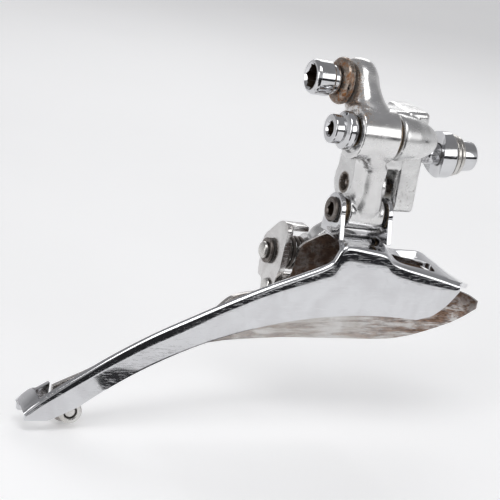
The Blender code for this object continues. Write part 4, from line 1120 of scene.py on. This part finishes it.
def show(item, node, material):
    """Let a fine piece stand for its CAD node."""
    # faces deep in a socket get the near-black painted shade material
    recess = [face.index for face in item.data.polygons if face.material_index]
    item.data.materials.clear()
    item.data.materials.append(material)
    if recess:
        item.data.materials.append(bpy.data.materials["socket_shade"])
        for index in recess:
            item.data.polygons[index].material_index = 1
    item.data.shade_smooth()
    item.data.set_sharp_from_angle(angle=math.radians(SHARP_ANGLE))
    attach(item, BODY_OF[node])
    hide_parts(node)


def make_pieces():
    palette = {name: worn_metal(name, **look) for name, look in METALS.items()}
    for node, metal, make, *sizes in PIECES:
        show(make(*sizes), node, palette[metal])


# ------------------------------------------------------------------ studio
def make_camera():
    azimuth, elevation, roll = (math.radians(angle) for angle in (-25.35, 15.29, 9.59))
    distance = 450.0
    aim_right, aim_up = 37.59, 22.27      # how far the picture's centre lies left of and below
    back = Vector((math.sin(azimuth) * math.cos(elevation),
                   -math.cos(azimuth) * math.cos(elevation), math.sin(elevation)))
    level = Vector((math.cos(azimuth), math.sin(azimuth), 0))
    upright = back.cross(level)
    right = math.cos(roll) * level + math.sin(roll) * upright
    up = -math.sin(roll) * level + math.cos(roll) * upright
    data = bpy.data.cameras.new("camera")
    camera = bpy.data.objects.new("camera", data)
    bpy.context.scene.collection.objects.link(camera)
    turn = Matrix((right, up, back)).transposed().to_4x4()
    spot = (distance * back - aim_right * right - aim_up * up) * MM
    camera.matrix_world = Matrix.Translation(spot) @ turn
    data.sensor_width = 36.0
    data.lens = 141.6
    data.clip_start = 0.01
    data.clip_end = 20.0
    bpy.context.scene.camera = camera


def make_floor():
    low, high = CAD_BOX
    bm = bmesh.new()
    bmesh.ops.create_grid(bm, x_segments=1, y_segments=1, size=6000.0)
    bmesh.ops.translate(bm, vec=(0, 0, low.z / MM - 0.3), verts=bm.verts)
    floor = wrap("floor", bm)
    s = Surface("pale_floor")
    tone = s.ramp(s.noise(0.02, detail=3.0), 0.3, 0.7)
    s.finish(s.mix(tone, (0.90, 0.90, 0.905), (0.92, 0.92, 0.925)), 0.6,
             s.bump(s.noise(0.8), 0.05, 0.1), 0.0)
    s.shader.inputs["Emission Color"].default_value = (1.0, 1.0, 1.0, 1.0)
    s.shader.inputs["Emission Strength"].default_value = 0.22
    floor.data.materials.append(s.material)


def make_light(name, spot, target, size, power):
    data = bpy.data.lights.new(name, "AREA")
    data.shape = "RECTANGLE"
    data.size, data.size_y = (length * MM for length in size)
    data.energy = power
    light = bpy.data.objects.new(name, data)
    light.location = Vector(spot) * MM
    direction = (Vector(target) - Vector(spot)).normalized()
    light.rotation_mode = "QUATERNION"
    light.rotation_quaternion = direction.to_track_quat("-Z", "Y")
    bpy.context.scene.collection.objects.link(light)


def make_flag(name, spot, target, size):
    """A black card that only reflections see, for the dark lines polished metal shows."""
    width, height = size
    direction = (Vector(target) - Vector(spot)).normalized()
    place = (Matrix.Translation(Vector(spot) * MM)
             @ direction.to_track_quat("Z", "Y").to_matrix().to_4x4())
    bm = bmesh.new()
    corners = ((-width, -height), (width, -height), (width, height), (-width, height))
    bm.faces.new([bm.verts.new((x / 2, y / 2, 0)) for x, y in corners])
    flag = wrap(name, bm, place)
    s = Surface(name)
    tone = s.mix(s.noise(0.01), (0.012, 0.012, 0.014), (0.02, 0.02, 0.024))
    flag.data.materials.append(s.finish(tone, 0.9, s.bump(s.noise(0.05), 0.05, 1.0), 0.0))
    flag.visible_camera = False
    flag.visible_diffuse = False
    flag.visible_shadow = False


def make_world():
    """A white tent, brightest near the horizon."""
    world = bpy.data.worlds.new("studio")
    bpy.context.scene.world = world
    world.use_nodes = True
    nodes = world.node_tree.nodes
    links = world.node_tree.links
    background = nodes["Background"]
    coordinates = nodes.new("ShaderNodeTexCoord")
    split = nodes.new("ShaderNodeSeparateXYZ")
    links.new(coordinates.outputs["Generated"], split.inputs[0])
    height = nodes.new("ShaderNodeValToRGB")
    links.new(split.outputs["Z"], height.inputs["Fac"])
    ramp = height.color_ramp
    first, last = ramp.elements
    first.position, first.color = 0.0, (0.90, 0.90, 0.92, 1)
    last.position, last.color = 1.0, (0.40, 0.40, 0.42, 1)
    for position, value in ((0.35, 0.75), (0.65, 0.40)):
        ramp.elements.new(position).color = (value, value, value * 1.02, 1)
    links.new(height.outputs["Color"], background.inputs["Color"])
    background.inputs["Strength"].default_value = 0.72


def make_studio():
    make_camera()
    make_floor()
    make_world()
    middle = (-30, -5, -25)
    # where each stands, where it faces, width and height; a light's power in watts
    make_light("softbox_top", (-140, -200, 460), middle, (340, 260), 0.85)
    make_light("softbox_left", (-420, -220, 160), middle, (160, 300), 0.35)
    make_light("softbox_back", (160, 420, 260), middle, (300, 240), 0.4)
    make_light("softbox_front", (430, -720, 330), (0, 0, 0), (520, 420), 1.2)
    make_flag("flag_front", (330, -560, 5), (0, 0, 5), (1100, 136))
    make_flag("flag_side", (-57, -80, -18), (-14, -8, -18), (80, 88))
    make_flag("flag_low", (-40, -33, -62.5), (-40, -33, 0), (46, 32))
    bpy.context.scene.view_settings.view_transform = "Standard"


make_studio()
make_pieces()
